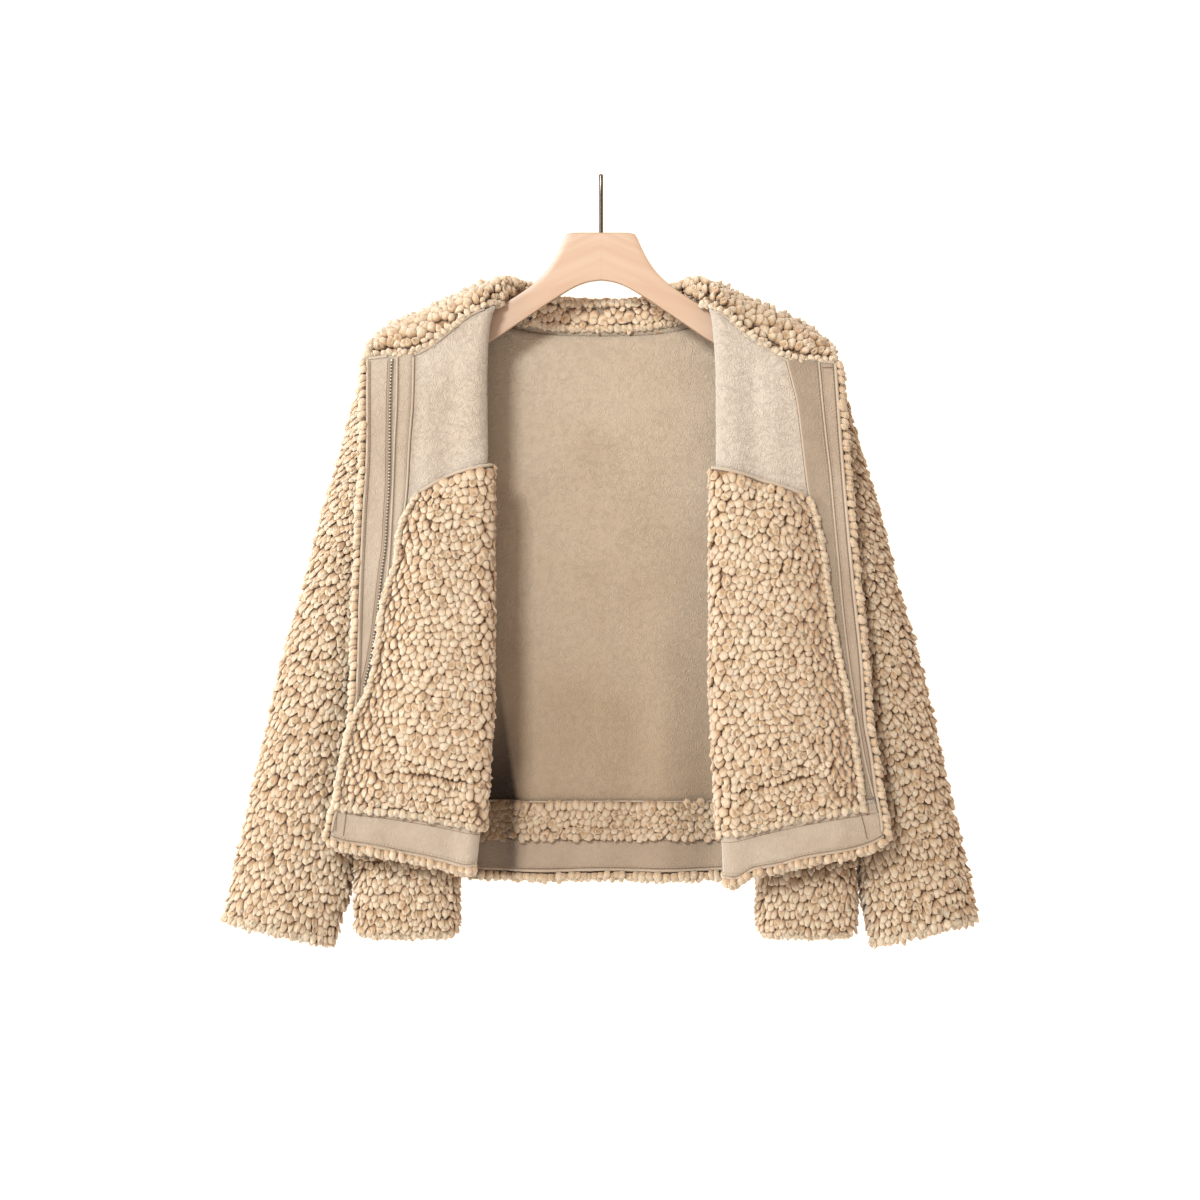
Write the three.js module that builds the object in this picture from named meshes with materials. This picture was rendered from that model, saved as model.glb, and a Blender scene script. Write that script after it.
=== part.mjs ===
import * as THREE from 'three';

// Fleece jacket, pile outside and suede inside, hung open on a flat wooden hanger.
// Millimetres. +Z up, -Y towards the viewer, +X to the viewer's right.
// The origin is the top end of the hanger's rod.

// ---------- driving dimensions ----------
const SEAM_GAP = 0.3;
const SIDE_GAP = 1.2;           // between the side edges of front and back, which lean
const PILE_CLOTH = 8;          // suede backing with its pile
const TUBE_CLOTH = 7;
const FACING_CLOTH = 2;
const ZIP_CLOTH = 1.4;
const ZIP_WIDTH = 7;
const EDGE_PILE = 9;           // pile showing past a suede edge
const BAND_INSET = 11;         // back hem band above the lower edge of the pile
const ROD_RADIUS = 2.1;
const ROD_LENGTH = 59;
const HANGER_THICKNESS = 13;
const HANGER_BEVEL = 1.2;
const FOLD_RADIUS = 10;        // outside of the turned-back fold
const FOLD_Y = -24;            // centre of the fold
const BACK_Y = 37;             // inside face of the back
const SIDE_Y = 12;             // side seam and sleeve axis
const SIDE_TURN = 34;          // width over which a panel turns to the side seam
const HEM_FLARE = 8;           // how far the fronts stand forward at the hem
const YOKE_Y = { front: -36, ridge: 5, back: 45 };
const YOKE_FOOT = 3;             // the wall leans, so its inner edge comes down to the seam
const YOKE_X = { neck: 101, end: 231 };
const SLEEVE_SIDES = 18;
const TUBE_SIDES = 18;
const TUBE_SQUARENESS = 0.62;

// ---------- tables: one row for each level; l = viewer's left, r = viewer's right, widths from the centre ----------
const FOLD = [
  { z: -133, l: 103.5, r: 106.5 }, { z: -145, l: 109, r: 110 }, { z: -171, l: 112.7, r: 113 }, { z: -207, l: 113.8, r: 114.7 },
  { z: -294, l: 113, r: 115 }, { z: -509, l: 113, r: 114.5 }, { z: -549, l: 114, r: 116.5 }, { z: -589, l: 117, r: 117.5 },
  { z: -629, l: 119, r: 120 }, { z: -700, l: 126, r: 123 },
];
const FRONT_EDGE = [
  { z: -187, l: 243, r: 243.5 }, { z: -269, l: 243, r: 249.3 }, { z: -349, l: 247, r: 255.7 }, { z: -418, l: 250, r: 262 },
  { z: -497, l: 252, r: 270 }, { z: -547, l: 255, r: 273 }, { z: -586, l: 261, r: 279.5 }, { z: -626, l: 268, r: 285 },
  { z: -645, l: 275, r: 289 }, { z: -666, l: 279, r: 291 },
];
const FLAP_TOP = [
  { x: 101, l: -132, r: -133 }, { x: 120, l: -138, r: -141 }, { x: 135, l: -146, r: -153 }, { x: 148, l: -157, r: -165 },
  { x: 163, l: -169, r: -174 }, { x: 178, l: -179, r: -183 }, { x: 186, l: -182, r: -188 }, { x: 210, l: -184, r: -189 },
  { x: 235, l: -187, r: -191 }, { x: 245, l: -188, r: -192 },
];
const FLAP_HEM = [
  { x: 116, l: -699, r: -714 }, { x: 133, l: -704, r: -716 }, { x: 150, l: -700, r: -707 }, { x: 176, l: -694, r: -702 },
  { x: 202, l: -689, r: -695 }, { x: 231, l: -683, r: -690 }, { x: 253, l: -680, r: -686 }, { x: 271, l: -674, r: -680 },
  { x: 279, l: -666, r: -676 }, { x: 291, l: -660, r: -666 },
];
const UNDER_HEM = [
  { x: 116, l: -699, r: -713 }, { x: 150, l: -697, r: -704 }, { x: 190, l: -684, r: -690 }, { x: 216, l: -672, r: -678 }, { x: 234, l: -667, r: -671 }, { x: 247, l: -666, r: -669 },
];
const SIDE_SEAM = [
  { z: -182, l: 235.9, r: 235.9, turned: 0 }, { z: -290, l: 223.3, r: 223.3, turned: 0 }, { z: -320, l: 219.5, r: 219.5, turned: 0.04 },
  { z: -345, l: 213, r: 213, turned: 0.2 }, { z: -370, l: 206.5, r: 206.5, turned: 0.6 }, { z: -392, l: 203, r: 203, turned: 1 },
  { z: -430, l: 206, r: 206, turned: 1 }, { z: -455, l: 212, r: 213, turned: 1 }, { z: -525, l: 220, r: 223, turned: 1 },
  { z: -600, l: 227, r: 234, turned: 1 }, { z: -655, l: 231, r: 241, turned: 1 }, { z: -700, l: 234, r: 246, turned: 1 },
];
const YOKE = [
  { x: 101, l: -105, r: -104, back: -150 }, { x: 115, l: -108, r: -109, back: -154 }, { x: 143, l: -120, r: -122, back: -164 },
  { x: 157, l: -126, r: -127.5, back: -170 }, { x: 177, l: -136, r: -137, back: -179 }, { x: 204, l: -147, r: -150, back: -191 },
  { x: 219, l: -155, r: -160, back: -198 }, { x: 231, l: -167, r: -171, back: -203 },
];
const COLLAR = [
  { x: 0, top: -126.6, bottom: -160.3, topY: 36 }, { x: 30, top: -126.2, bottom: -159.8, topY: 35 },
  { x: 45, top: -124, bottom: -158.9, topY: 33 }, { x: 60, top: -117, bottom: -157.4, topY: 29.5 },
  { x: 72, top: -111, bottom: -156, topY: 24 }, { x: 88, top: -106.5, bottom: -152.3, topY: 14 }, { x: 100.6, top: -105.5, bottom: -149.1, topY: 8 },
];
const BACK_TOP = [
  { x: 0, z: -161.3 }, { x: 40, z: -160.4 }, { x: 70, z: -157.4 }, { x: 88, z: -153.4 }, { x: 101, z: -150.4 }, { x: 115, z: -154.4 },
  { x: 157, z: -170.4 }, { x: 204, z: -191.4 }, { x: 231, z: -203.4 }, { x: 240, z: -206 },
];
const BACK_HEM = [
  { x: 0, z: -714 }, { x: 60, z: -715 }, { x: 125, z: -713 }, { x: 180, z: -698 }, { x: 214, z: -679 }, { x: 234, z: -669 }, { x: 247, z: -668 },
];
const BACK_FOLDS = [
  { x: -56, width: 24, depth: -5, from: -300 }, { x: 27, width: 22, depth: 4, from: -400 }, { x: 64, width: 20, depth: -4.5, from: -330 },
  { x: -100, width: 14, depth: 5, from: -450 }, { x: 110, width: 16, depth: 4, from: -420 },
];
const SLEEVE = [
  { outX: 237, outZ: -179, inL: 212, inR: 212, inZ: -392, half: 32 }, { outX: 249, outZ: -226, inL: 213.5, inR: 213.5, inZ: -405, half: 33 },
  { outX: 267, outZ: -289, inL: 217, inR: 217, inZ: -428, half: 34 }, { outX: 283, outZ: -343, inL: 222, inR: 223, inZ: -452, half: 34 },
  { outX: 302, outZ: -418, inL: 229.5, inR: 231, inZ: -500, half: 33 }, { outX: 319, outZ: -475, inL: 234, inR: 236, inZ: -532, half: 32 },
  { outX: 336, outZ: -546, inL: 240, inR: 246, inZ: -590, half: 30 }, { outX: 352, outZ: -617, inL: 244, inR: 254, inZ: -652, half: 29 },
  { outX: 369, outZ: -689, inL: 251, inR: 259, inZ: -716, half: 28 }, { outX: 381, outZ: -746, inL: 267, inR: 270, inZ: -772, half: 27 },
];
const TUBE = [
  { z: -560, inL: 134, outL: 208, inR: 146, outR: 216, y: 24, half: 11 }, { z: -605, inL: 136, outL: 212, inR: 148, outR: 220, y: 18, half: 15 },
  { z: -632, inL: 137, outL: 214, inR: 150, outR: 224, y: 7, half: 19 }, { z: -672, inL: 139, outL: 216, inR: 152, outR: 226, y: 6, half: 21 },
  { z: -690, inL: 141, outL: 246, inR: 155, outR: 256, y: 6, half: 22 }, { z: -720, inL: 142, outL: 249, inR: 156, outR: 259, y: 6, half: 23 },
  { z: -758, inL: 142, outL: 249, inR: 156, outR: 259.5, y: 6, half: 23 }, { z: -765, inL: 147, outL: 244, inR: 161, outR: 254.5, y: 6, half: 20 },
];
const POCKET_SIDE = [
  { z: -321, l: 180, r: 201 }, { z: -331, l: 186, r: 207.5 }, { z: -352, l: 196, r: 214 }, { z: -395, l: 203, r: 221.5 },
  { z: -430, l: 215, r: 225.5 }, { z: -484, l: 222, r: 235 }, { z: -519, l: 230, r: 242.5 }, { z: -541, l: 242, r: 246 },
  { z: -560, l: 249, r: 249 }, { z: -586, l: 255, r: 252.5 }, { z: -612, l: 260, r: 256.5 }, { z: -640, l: 263, r: 260 },
];
const POCKET_TOP = [
  { x: 103, l: -293, r: -295 }, { x: 137, l: -301, r: -303 }, { x: 166, l: -312, r: -312 }, { x: 180, l: -321, r: -316 }, { x: 202, l: -331, r: -325 }, { x: 208, l: -333, r: -333 },
];
const POCKET_HEM = [
  { x: 105, l: -657, r: -662 }, { x: 141, l: -650, r: -658 }, { x: 178, l: -643, r: -649 }, { x: 214, l: -638, r: -642 }, { x: 243, l: -635, r: -637 }, { x: 291, l: -629, r: -631 },
];
const FACING_L = [
  { z: -186, inner: 187 }, { z: -229, inner: 188 }, { z: -269, inner: 191 }, { z: -321, inner: 194 }, { z: -352, inner: 197.5 },
  { z: -395, inner: 204.5 }, { z: -430, inner: 216.5 }, { z: -484, inner: 223.5 }, { z: -519, inner: 231.5 }, { z: -530, inner: 237.5 },
];
const FACING_R = [
  { z: -190, inner: 186, seam: 217 }, { z: -234, inner: 196.6, seam: 221 }, { z: -269, inner: 201, seam: 224.7 }, { z: -303, inner: 205, seam: 228.7 },
  { z: -333, inner: 209.5, seam: 231.3 }, { z: -352, inner: 215.2, seam: 233 }, { z: -395, inner: 222.7, seam: 237 }, { z: -430, inner: 226.7, seam: 240 },
  { z: -484, inner: 236, seam: 246 }, { z: -541, inner: 247.5, seam: 254.5 }, { z: -586, inner: 254, seam: 262 }, { z: -628, inner: 260.5, seam: 272 },
];
const ZIP = [
  { z: -190, x: 209 }, { z: -269, x: 211.5 }, { z: -346, x: 214 }, { z: -400, x: 219 }, { z: -449, x: 224.5 }, { z: -493, x: 231.5 }, { z: -514, x: 236.5 },
];
const HANGER_TOP = [
  { x: 0, z: -59.3 }, { x: 32, z: -59.3 }, { x: 35.4, z: -62 }, { x: 40.5, z: -74 }, { x: 47.3, z: -87.5 }, { x: 56.5, z: -100.6 },
  { x: 69.8, z: -112.5 }, { x: 88, z: -125 }, { x: 106, z: -135 }, { x: 150, z: -157 }, { x: 196, z: -178 }, { x: 206, z: -185 }, { x: 210, z: -193 },
];
const HANGER_UNDER = [
  { x: 205, z: -200 }, { x: 192, z: -201 }, { x: 150, z: -187 }, { x: 112.5, z: -170.5 }, { x: 80, z: -148 }, { x: 51.5, z: -129 },
  { x: 39.8, z: -121.5 }, { x: 26.5, z: -113.5 }, { x: 13, z: -108.4 }, { x: 0, z: -107 },
];

// ---------- helpers ----------
const clamp = (v, a, b) => Math.min(b, Math.max(a, v));
const lerp = (a, b, t) => a + (b - a) * t;
const soft = (t) => { const c = clamp(t, 0, 1); return c * c * (3 - 2 * c); };
// value of a column at a level, straight between rows
function at(table, key, column, value) {
  const rising = table[1][key] > table[0][key];
  const rows = rising ? table : [...table].reverse();
  if (value <= rows[0][key]) return rows[0][column];
  for (let i = 1; i < rows.length; i++) {
    if (value <= rows[i][key]) return lerp(rows[i - 1][column], rows[i][column], (value - rows[i - 1][key]) / (rows[i][key] - rows[i - 1][key]));
  }
  return rows[rows.length - 1][column];
}
const spaced = (n, from = 0, to = 1) => Array.from({ length: n + 1 }, (_, i) => lerp(from, to, i / n));

function closedBody(positions, indices) {
  let volume = 0;
  const a = new THREE.Vector3(), b = new THREE.Vector3(), c = new THREE.Vector3();
  for (let i = 0; i < indices.length; i += 3) {
    a.fromArray(positions, indices[i] * 3); b.fromArray(positions, indices[i + 1] * 3); c.fromArray(positions, indices[i + 2] * 3);
    volume += a.dot(b.cross(c));
  }
  if (volume < 0) for (let i = 0; i < indices.length; i += 3) [indices[i + 1], indices[i + 2]] = [indices[i + 2], indices[i + 1]];
  const geometry = new THREE.BufferGeometry();
  geometry.setAttribute('position', new THREE.Float32BufferAttribute(positions, 3));
  geometry.setIndex(indices);
  geometry.computeVertexNormals();
  return geometry;
}

// unit normals of a grid of points; ring closes it along a row
function gridNormals(grid, ring) {
  const rows = grid.length, cols = grid[0].length;
  return grid.map((row, j) => row.map((_, i) => {
    const left = ring ? row[(i + cols - 1) % cols] : row[Math.max(i - 1, 0)];
    const right = ring ? row[(i + 1) % cols] : row[Math.min(i + 1, cols - 1)];
    const up = grid[Math.max(j - 1, 0)][i], down = grid[Math.min(j + 1, rows - 1)][i];
    return right.clone().sub(left).cross(down.clone().sub(up)).normalize();
  }));
}

// a wall from a grid: it starts `lift` off the grid and is `thickness` thick, along side * normal
function wall(grid, thickness, { ring = false, side = 1, lift = 0, flatFirstRow = false } = {}) {
  const rows = grid.length, cols = grid[0].length;
  const normals = gridNormals(grid, ring);
  if (flatFirstRow) { // the first ring's thickness stays in the ring's own plane
    const centre = grid[0].reduce((sum, p) => sum.add(p), new THREE.Vector3()).divideScalar(cols);
    const axis = grid[0].reduce((sum, p, i) => sum.add(p.clone().sub(centre).cross(grid[0][(i + 1) % cols].clone().sub(centre))), new THREE.Vector3()).normalize();
    normals[0].forEach((n) => n.addScaledVector(axis, -n.dot(axis)).normalize());
  }
  const positions = [], indices = [];
  for (const offset of [lift, lift + thickness]) {
    for (let j = 0; j < rows; j++) for (let i = 0; i < cols; i++) {
      const p = grid[j][i].clone().addScaledVector(normals[j][i], side * offset);
      positions.push(p.x, p.y, p.z);
    }
  }
  const id = (layer, j, i) => layer * rows * cols + j * cols + (i % cols);
  const quad = (a, b, c, d) => indices.push(a, b, c, a, c, d);
  const spans = ring ? cols : cols - 1;
  for (let j = 0; j < rows - 1; j++) for (let i = 0; i < spans; i++) {
    quad(id(0, j, i), id(0, j + 1, i), id(0, j + 1, i + 1), id(0, j, i + 1));
    quad(id(1, j, i), id(1, j, i + 1), id(1, j + 1, i + 1), id(1, j + 1, i));
  }
  for (let i = 0; i < spans; i++) {
    quad(id(0, 0, i), id(0, 0, i + 1), id(1, 0, i + 1), id(1, 0, i));
    quad(id(0, rows - 1, i + 1), id(0, rows - 1, i), id(1, rows - 1, i), id(1, rows - 1, i + 1));
  }
  if (!ring) for (let j = 0; j < rows - 1; j++) {
    quad(id(0, j + 1, 0), id(0, j, 0), id(1, j, 0), id(1, j + 1, 0));
    quad(id(0, j, cols - 1), id(0, j + 1, cols - 1), id(1, j + 1, cols - 1), id(1, j, cols - 1));
  }
  return closedBody(positions, indices);
}

const jacket = new THREE.Group();
function add(name, geometry, color, roughness, metalness = 0) {
  const mesh = new THREE.Mesh(geometry, new THREE.MeshStandardMaterial({ color, roughness, metalness, side: THREE.DoubleSide }));
  mesh.name = name;
  jacket.add(mesh);
  return mesh;
}
const PILE_COLOR = 0xe0c49c, SUEDE_COLOR = 0xddc8ab, FACING_COLOR = 0xe2d0b6;

// ---------- body surfaces ----------
const foldY = (z) => FOLD_Y - HEM_FLARE * soft((-z - 260) / 440);
// a point of the inside face of a front; hand is 'l' or 'r'
function frontPoint(hand, column, z, outer = null) {
  const sign = hand === 'l' ? -1 : 1;
  const centreX = at(FOLD, 'z', hand, z) + FOLD_RADIUS, centreY = foldY(z);
  let x, y;
  if (column.part === 'fold') {
    const a = THREE.MathUtils.degToRad(column.t);
    x = centreX - FOLD_RADIUS * Math.cos(a); y = centreY - FOLD_RADIUS * Math.sin(a);
  } else if (column.part === 'flap') {
    const edge = outer === null ? at(FRONT_EDGE, 'z', hand, z) : outer;
    x = lerp(centreX, edge, column.t); y = centreY - FOLD_RADIUS;
  } else {
    const seam = at(SIDE_SEAM, 'z', hand, z), turned = at(SIDE_SEAM, 'z', 'turned', z);
    const inner = centreY + FOLD_RADIUS;
    if (column.part === 'under') { x = lerp(centreX, seam - SIDE_TURN, column.t); y = inner; } else {
      const a = column.t * Math.PI / 2;
      x = seam - SIDE_TURN + SIDE_TURN * lerp(column.t, Math.sin(a), turned);
      y = inner + (SIDE_Y - SIDE_GAP / 2 - inner) * turned * (1 - Math.cos(a));
    }
  }
  return new THREE.Vector3(sign * x, y, z);
}
function frontGrid(hand) {
  const columns = [
    ...[1, 0.7, 0.35].map((t) => ({ part: 'turn', t })), ...[1, 0.5].map((t) => ({ part: 'under', t })),
    ...[-90, -60, -30, 0, 30, 60, 90].map((t) => ({ part: 'fold', t })), ...[0.25, 0.5, 0.75, 1].map((t) => ({ part: 'flap', t })),
  ];
  return spaced(12).map((v) => columns.map((column) => {
    const behind = column.part === 'turn' || column.part === 'under' || column.t < 0;
    const topX = Math.abs(frontPoint(hand, column, -175).x), hemX = Math.abs(frontPoint(hand, column, -690).x);
    const top = at(FLAP_TOP, 'x', hand, topX) - (behind ? 1 : 0), hem = at(behind ? UNDER_HEM : FLAP_HEM, 'x', hand, hemX);
    return frontPoint(hand, column, lerp(top, hem, v));
  }));
}
// a point of the inside face of the back; across runs from -1 to 1
function backPoint(column, z) {
  const hand = column.hand;
  const sign = hand === 'l' ? -1 : 1;
  const seam = at(SIDE_SEAM, 'z', hand, z), turned = at(SIDE_SEAM, 'z', 'turned', z);
  const x = column.part === 'flat' ? column.t * (seam - SIDE_TURN) : seam - SIDE_TURN + SIDE_TURN * lerp(column.t, Math.sin(column.t * Math.PI / 2), turned);
  let y = BACK_Y + backFold(sign * x, z);
  if (column.part === 'turn') y = lerp(y, lerp(y, SIDE_Y + SIDE_GAP / 2, turned), 1 - Math.cos(column.t * Math.PI / 2));
  return new THREE.Vector3(sign * x, y, z);
}
function backFold(x, z) {
  return BACK_FOLDS.reduce((sum, f) => sum + f.depth * soft((f.from - z) / 260) * Math.exp(-(((x - f.x) / f.width) ** 2)), 0);
}
function backGrid() {
  const half = (hand, order) => order.map(([part, t]) => ({ hand, part, t }));
  const turn = [1, 0.7, 0.35].map((t) => ['turn', t]), flat = spaced(9, 1, 0.1).map((t) => ['flat', t]);
  const columns = [...half('l', [...turn, ...flat]), { hand: 'l', part: 'flat', t: 0 }, ...half('r', [...turn, ...flat].reverse())];
  return spaced(13).map((v) => columns.map((column) => {
    const topX = Math.abs(backPoint(column, -200).x), hemX = Math.abs(backPoint(column, -690).x);
    return backPoint(column, lerp(at(BACK_TOP, 'x', 'z', topX), at(BACK_HEM, 'x', 'z', hemX), v));
  }));
}
add('back', wall(backGrid(), PILE_CLOTH, { side: 1 }), PILE_COLOR, 0.95);
add('front_l', wall(frontGrid('l'), PILE_CLOTH, { side: -1 }), SUEDE_COLOR, 0.9);
add('front_r', wall(frontGrid('r'), PILE_CLOTH, { side: 1 }), SUEDE_COLOR, 0.9);

// ---------- shoulder bands and back collar ----------
function yokeGrid(hand) {
  const sign = hand === 'l' ? -1 : 1;
  return spaced(8, YOKE_X.neck, YOKE_X.end).map((x) => spaced(10, 0, Math.PI).map((a) => {
    const front = a <= Math.PI / 2;
    const foot = (front ? at(FLAP_TOP, 'x', hand, x) : at(YOKE, 'x', 'back', x)) + YOKE_FOOT;
    const reach = front ? YOKE_Y.ridge - YOKE_Y.front : YOKE_Y.back - YOKE_Y.ridge;
    return new THREE.Vector3(sign * x, YOKE_Y.ridge - reach * Math.cos(a), lerp(foot, at(YOKE, 'x', hand, x), Math.sin(a)));
  }));
}
add('yoke_l', wall(yokeGrid('l'), PILE_CLOTH, { side: -1 }), PILE_COLOR, 0.95);
add('yoke_r', wall(yokeGrid('r'), PILE_CLOTH, { side: 1 }), PILE_COLOR, 0.95);

const collarColumns = [96.5, 91, 84, 75, 64, 52, 40, 20];
const collarGrid = [...collarColumns.map((x) => -x), 0, ...collarColumns.reverse()].map((x) => spaced(4).map((t) => {
  const row = (column) => at(COLLAR, 'x', column, Math.abs(x));
  return new THREE.Vector3(x, lerp(BACK_Y, row('topY'), t * t), lerp(row('bottom'), row('top'), t));
}));
add('collar_back', wall(collarGrid, PILE_CLOTH, { side: 1 }), PILE_COLOR, 0.95);

// ---------- sleeves and hanging tube ends ----------
function sleeveGrid(hand) {
  const sign = hand === 'l' ? -1 : 1;
  return SLEEVE.map((row) => spaced(SLEEVE_SIDES, 0, 2 * Math.PI).slice(0, -1).map((a) => {
    const inX = hand === 'l' ? row.inL : row.inR;
    const t = (1 + Math.cos(a)) / 2;
    return new THREE.Vector3(sign * lerp(inX, row.outX, t), SIDE_Y + row.half * Math.sin(a), lerp(row.inZ, row.outZ, t));
  }));
}
add('sleeve_l', wall(sleeveGrid('l'), PILE_CLOTH, { ring: true, side: -1, flatFirstRow: true }), PILE_COLOR, 0.95);
add('sleeve_r', wall(sleeveGrid('r'), PILE_CLOTH, { ring: true, side: 1, flatFirstRow: true }), PILE_COLOR, 0.95);

function tubeGrid(hand) {
  const sign = hand === 'l' ? -1 : 1;
  const squared = (v) => Math.sign(v) * Math.abs(v) ** TUBE_SQUARENESS;
  return TUBE.map((row) => spaced(TUBE_SIDES, 0, 2 * Math.PI).slice(0, -1).map((a) => {
    const inner = hand === 'l' ? row.inL : row.inR, outer = hand === 'l' ? row.outL : row.outR;
    return new THREE.Vector3(sign * lerp(inner, outer, (1 + squared(Math.cos(a))) / 2), row.y + row.half * squared(Math.sin(a)), row.z);
  }));
}
add('tube_l', wall(tubeGrid('l'), TUBE_CLOTH, { ring: true, side: -1 }), PILE_COLOR, 0.95);
add('tube_r', wall(tubeGrid('r'), TUBE_CLOTH, { ring: true, side: 1 }), PILE_COLOR, 0.95);

// ---------- what lies on the folded-back fronts ----------
const onFront = (hand) => ({ side: hand === 'l' ? 1 : -1, lift: SEAM_GAP });
function pocketGrid(hand) {
  const columns = [...[0, 30, 60, 90].map((t) => ({ part: 'fold', t })), ...[0.2, 0.4, 0.6, 0.8, 1].map((t) => ({ part: 'flap', t }))];
  return spaced(12).map((v) => columns.map((column) => {
    const place = (z) => frontPoint(hand, column, z, at(POCKET_SIDE, 'z', hand, z));
    const top = at(POCKET_TOP, 'x', hand, Math.abs(place(-325).x)), hem = at(POCKET_HEM, 'x', hand, Math.abs(place(-640).x));
    return place(lerp(top, hem, v));
  }));
}
add('pocket_l', wall(pocketGrid('l'), PILE_CLOTH, onFront('l')), PILE_COLOR, 0.95);
add('pocket_r', wall(pocketGrid('r'), PILE_CLOTH, onFront('r')), PILE_COLOR, 0.95);

// a strip on a flap between two widths, from one level to another
function stripGrid(hand, inner, outer, top, bottom, rows) {
  const sign = hand === 'l' ? -1 : 1;
  return spaced(rows).map((v) => [0, 0.5, 1].map((t) => {
    const headX = lerp(inner(-195), outer(-195), t);
    const head = Math.min(top, at(FLAP_TOP, 'x', hand, headX) - 1.5);
    const z = lerp(head, bottom, v);
    return new THREE.Vector3(sign * lerp(inner(z), outer(z), t), foldY(z) - FOLD_RADIUS, z);
  }));
}
const suedeEdge = (hand) => (z) => at(FRONT_EDGE, 'z', hand, z) - EDGE_PILE;
add('facing_l', wall(stripGrid('l', (z) => at(FACING_L, 'z', 'inner', z), suedeEdge('l'), -180, -529, 12), FACING_CLOTH, onFront('l')), FACING_COLOR, 0.85);
add('facing_r_inner', wall(stripGrid('r', (z) => at(FACING_R, 'z', 'inner', z), (z) => at(FACING_R, 'z', 'seam', z), -180, -627, 12), FACING_CLOTH, onFront('r')), FACING_COLOR, 0.85);
add('facing_r_outer', wall(stripGrid('r', (z) => at(FACING_R, 'z', 'seam', z) + SEAM_GAP, suedeEdge('r'), -180, -627, 12), FACING_CLOTH, onFront('r')), FACING_COLOR, 0.85);
add('zip_l', wall(stripGrid('l', (z) => at(ZIP, 'z', 'x', z) - ZIP_WIDTH / 2, (z) => at(ZIP, 'z', 'x', z) + ZIP_WIDTH / 2, -190, -512, 12), ZIP_CLOTH, { side: 1, lift: FACING_CLOTH + 2 * SEAM_GAP }), 0x9c8f80, 0.5, 0.4);

function hemGrid(hand) {
  const columns = [...[30, 60, 90].map((t) => ({ part: 'fold', t })), ...[0.2, 0.4, 0.6, 0.8, 1].map((t) => ({ part: 'flap', t }))];
  return spaced(2).map((v) => columns.map((column) => {
    const place = (z) => frontPoint(hand, column, z, at(FRONT_EDGE, 'z', hand, z) - EDGE_PILE);
    const top = at(POCKET_HEM, 'x', hand, Math.abs(place(-645).x)) - 0.6, hem = at(FLAP_HEM, 'x', hand, Math.abs(place(-680).x)) + EDGE_PILE;
    return place(lerp(top, hem, v));
  }));
}
add('hem_l', wall(hemGrid('l'), FACING_CLOTH, onFront('l')), FACING_COLOR, 0.85);
add('hem_r', wall(hemGrid('r'), FACING_CLOTH, onFront('r')), FACING_COLOR, 0.85);

// ---------- what lies on the inside of the back ----------
function backBand(top, bottom, rows) {
  return spaced(rows).map((v) => spaced(18, -0.9, 0.9).map((t) => {
    const column = { hand: t < 0 ? 'l' : 'r', part: 'flat', t: Math.abs(t) };
    const hem = at(BACK_HEM, 'x', 'z', Math.abs(backPoint(column, -690).x)) + BAND_INSET;
    return backPoint(column, lerp(top, Math.max(bottom, hem), v));
  }));
}
add('back_strip', wall(backBand(-635, -668, 2), PILE_CLOTH, { side: -1, lift: 2 * SEAM_GAP }), PILE_COLOR, 0.95);
add('hem_back', wall(backBand(-668.5, -704, 2), FACING_CLOTH, { side: -1, lift: 2 * SEAM_GAP }), FACING_COLOR, 0.85);

// ---------- hanger ----------
const outline = new THREE.Shape();
const mirrored = (rows) => rows.filter((row) => row.x > 0).reverse().map((row) => ({ x: -row.x, z: row.z }));
[...HANGER_TOP, ...HANGER_UNDER, ...mirrored(HANGER_UNDER), ...mirrored(HANGER_TOP)].forEach((p, i) => (i ? outline.lineTo(p.x, p.z) : outline.moveTo(p.x, p.z)));
outline.closePath();
const wood = new THREE.ExtrudeGeometry(outline, {
  depth: HANGER_THICKNESS - 2 * HANGER_BEVEL, bevelEnabled: true, bevelThickness: HANGER_BEVEL, bevelSize: HANGER_BEVEL, bevelOffset: -HANGER_BEVEL, bevelSegments: 1,
});
wood.rotateX(Math.PI / 2);
wood.translate(0, HANGER_THICKNESS / 2 - HANGER_BEVEL, 0);
add('hanger_wood', wood, 0xf1ccad, 0.5);
const rod = new THREE.CylinderGeometry(ROD_RADIUS, ROD_RADIUS, ROD_LENGTH, 16);
rod.rotateX(Math.PI / 2);
rod.translate(0, 0, -ROD_LENGTH / 2);
add('hanger_rod', rod, 0x77736c, 0.35, 1);

export default jacket;
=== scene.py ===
"""Fleece jacket with curly pile outside and suede inside, hung open on a flat wooden hanger.
Metres in the scene; the tables below are millimetres in the part's own frame."""
import math

import bpy
import numpy as np
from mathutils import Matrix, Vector, kdtree


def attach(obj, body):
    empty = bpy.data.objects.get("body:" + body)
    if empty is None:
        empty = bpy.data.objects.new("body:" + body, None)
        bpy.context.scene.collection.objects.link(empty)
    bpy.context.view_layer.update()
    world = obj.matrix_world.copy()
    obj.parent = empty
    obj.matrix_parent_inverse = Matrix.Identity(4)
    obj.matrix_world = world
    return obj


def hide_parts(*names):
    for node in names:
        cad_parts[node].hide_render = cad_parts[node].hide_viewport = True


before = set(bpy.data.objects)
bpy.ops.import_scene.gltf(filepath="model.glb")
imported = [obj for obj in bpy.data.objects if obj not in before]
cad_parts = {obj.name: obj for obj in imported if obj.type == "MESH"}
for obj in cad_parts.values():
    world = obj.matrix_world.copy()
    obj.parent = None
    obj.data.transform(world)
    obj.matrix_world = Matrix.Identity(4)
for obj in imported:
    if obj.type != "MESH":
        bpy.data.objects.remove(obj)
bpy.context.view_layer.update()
MM = 0.001

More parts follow.
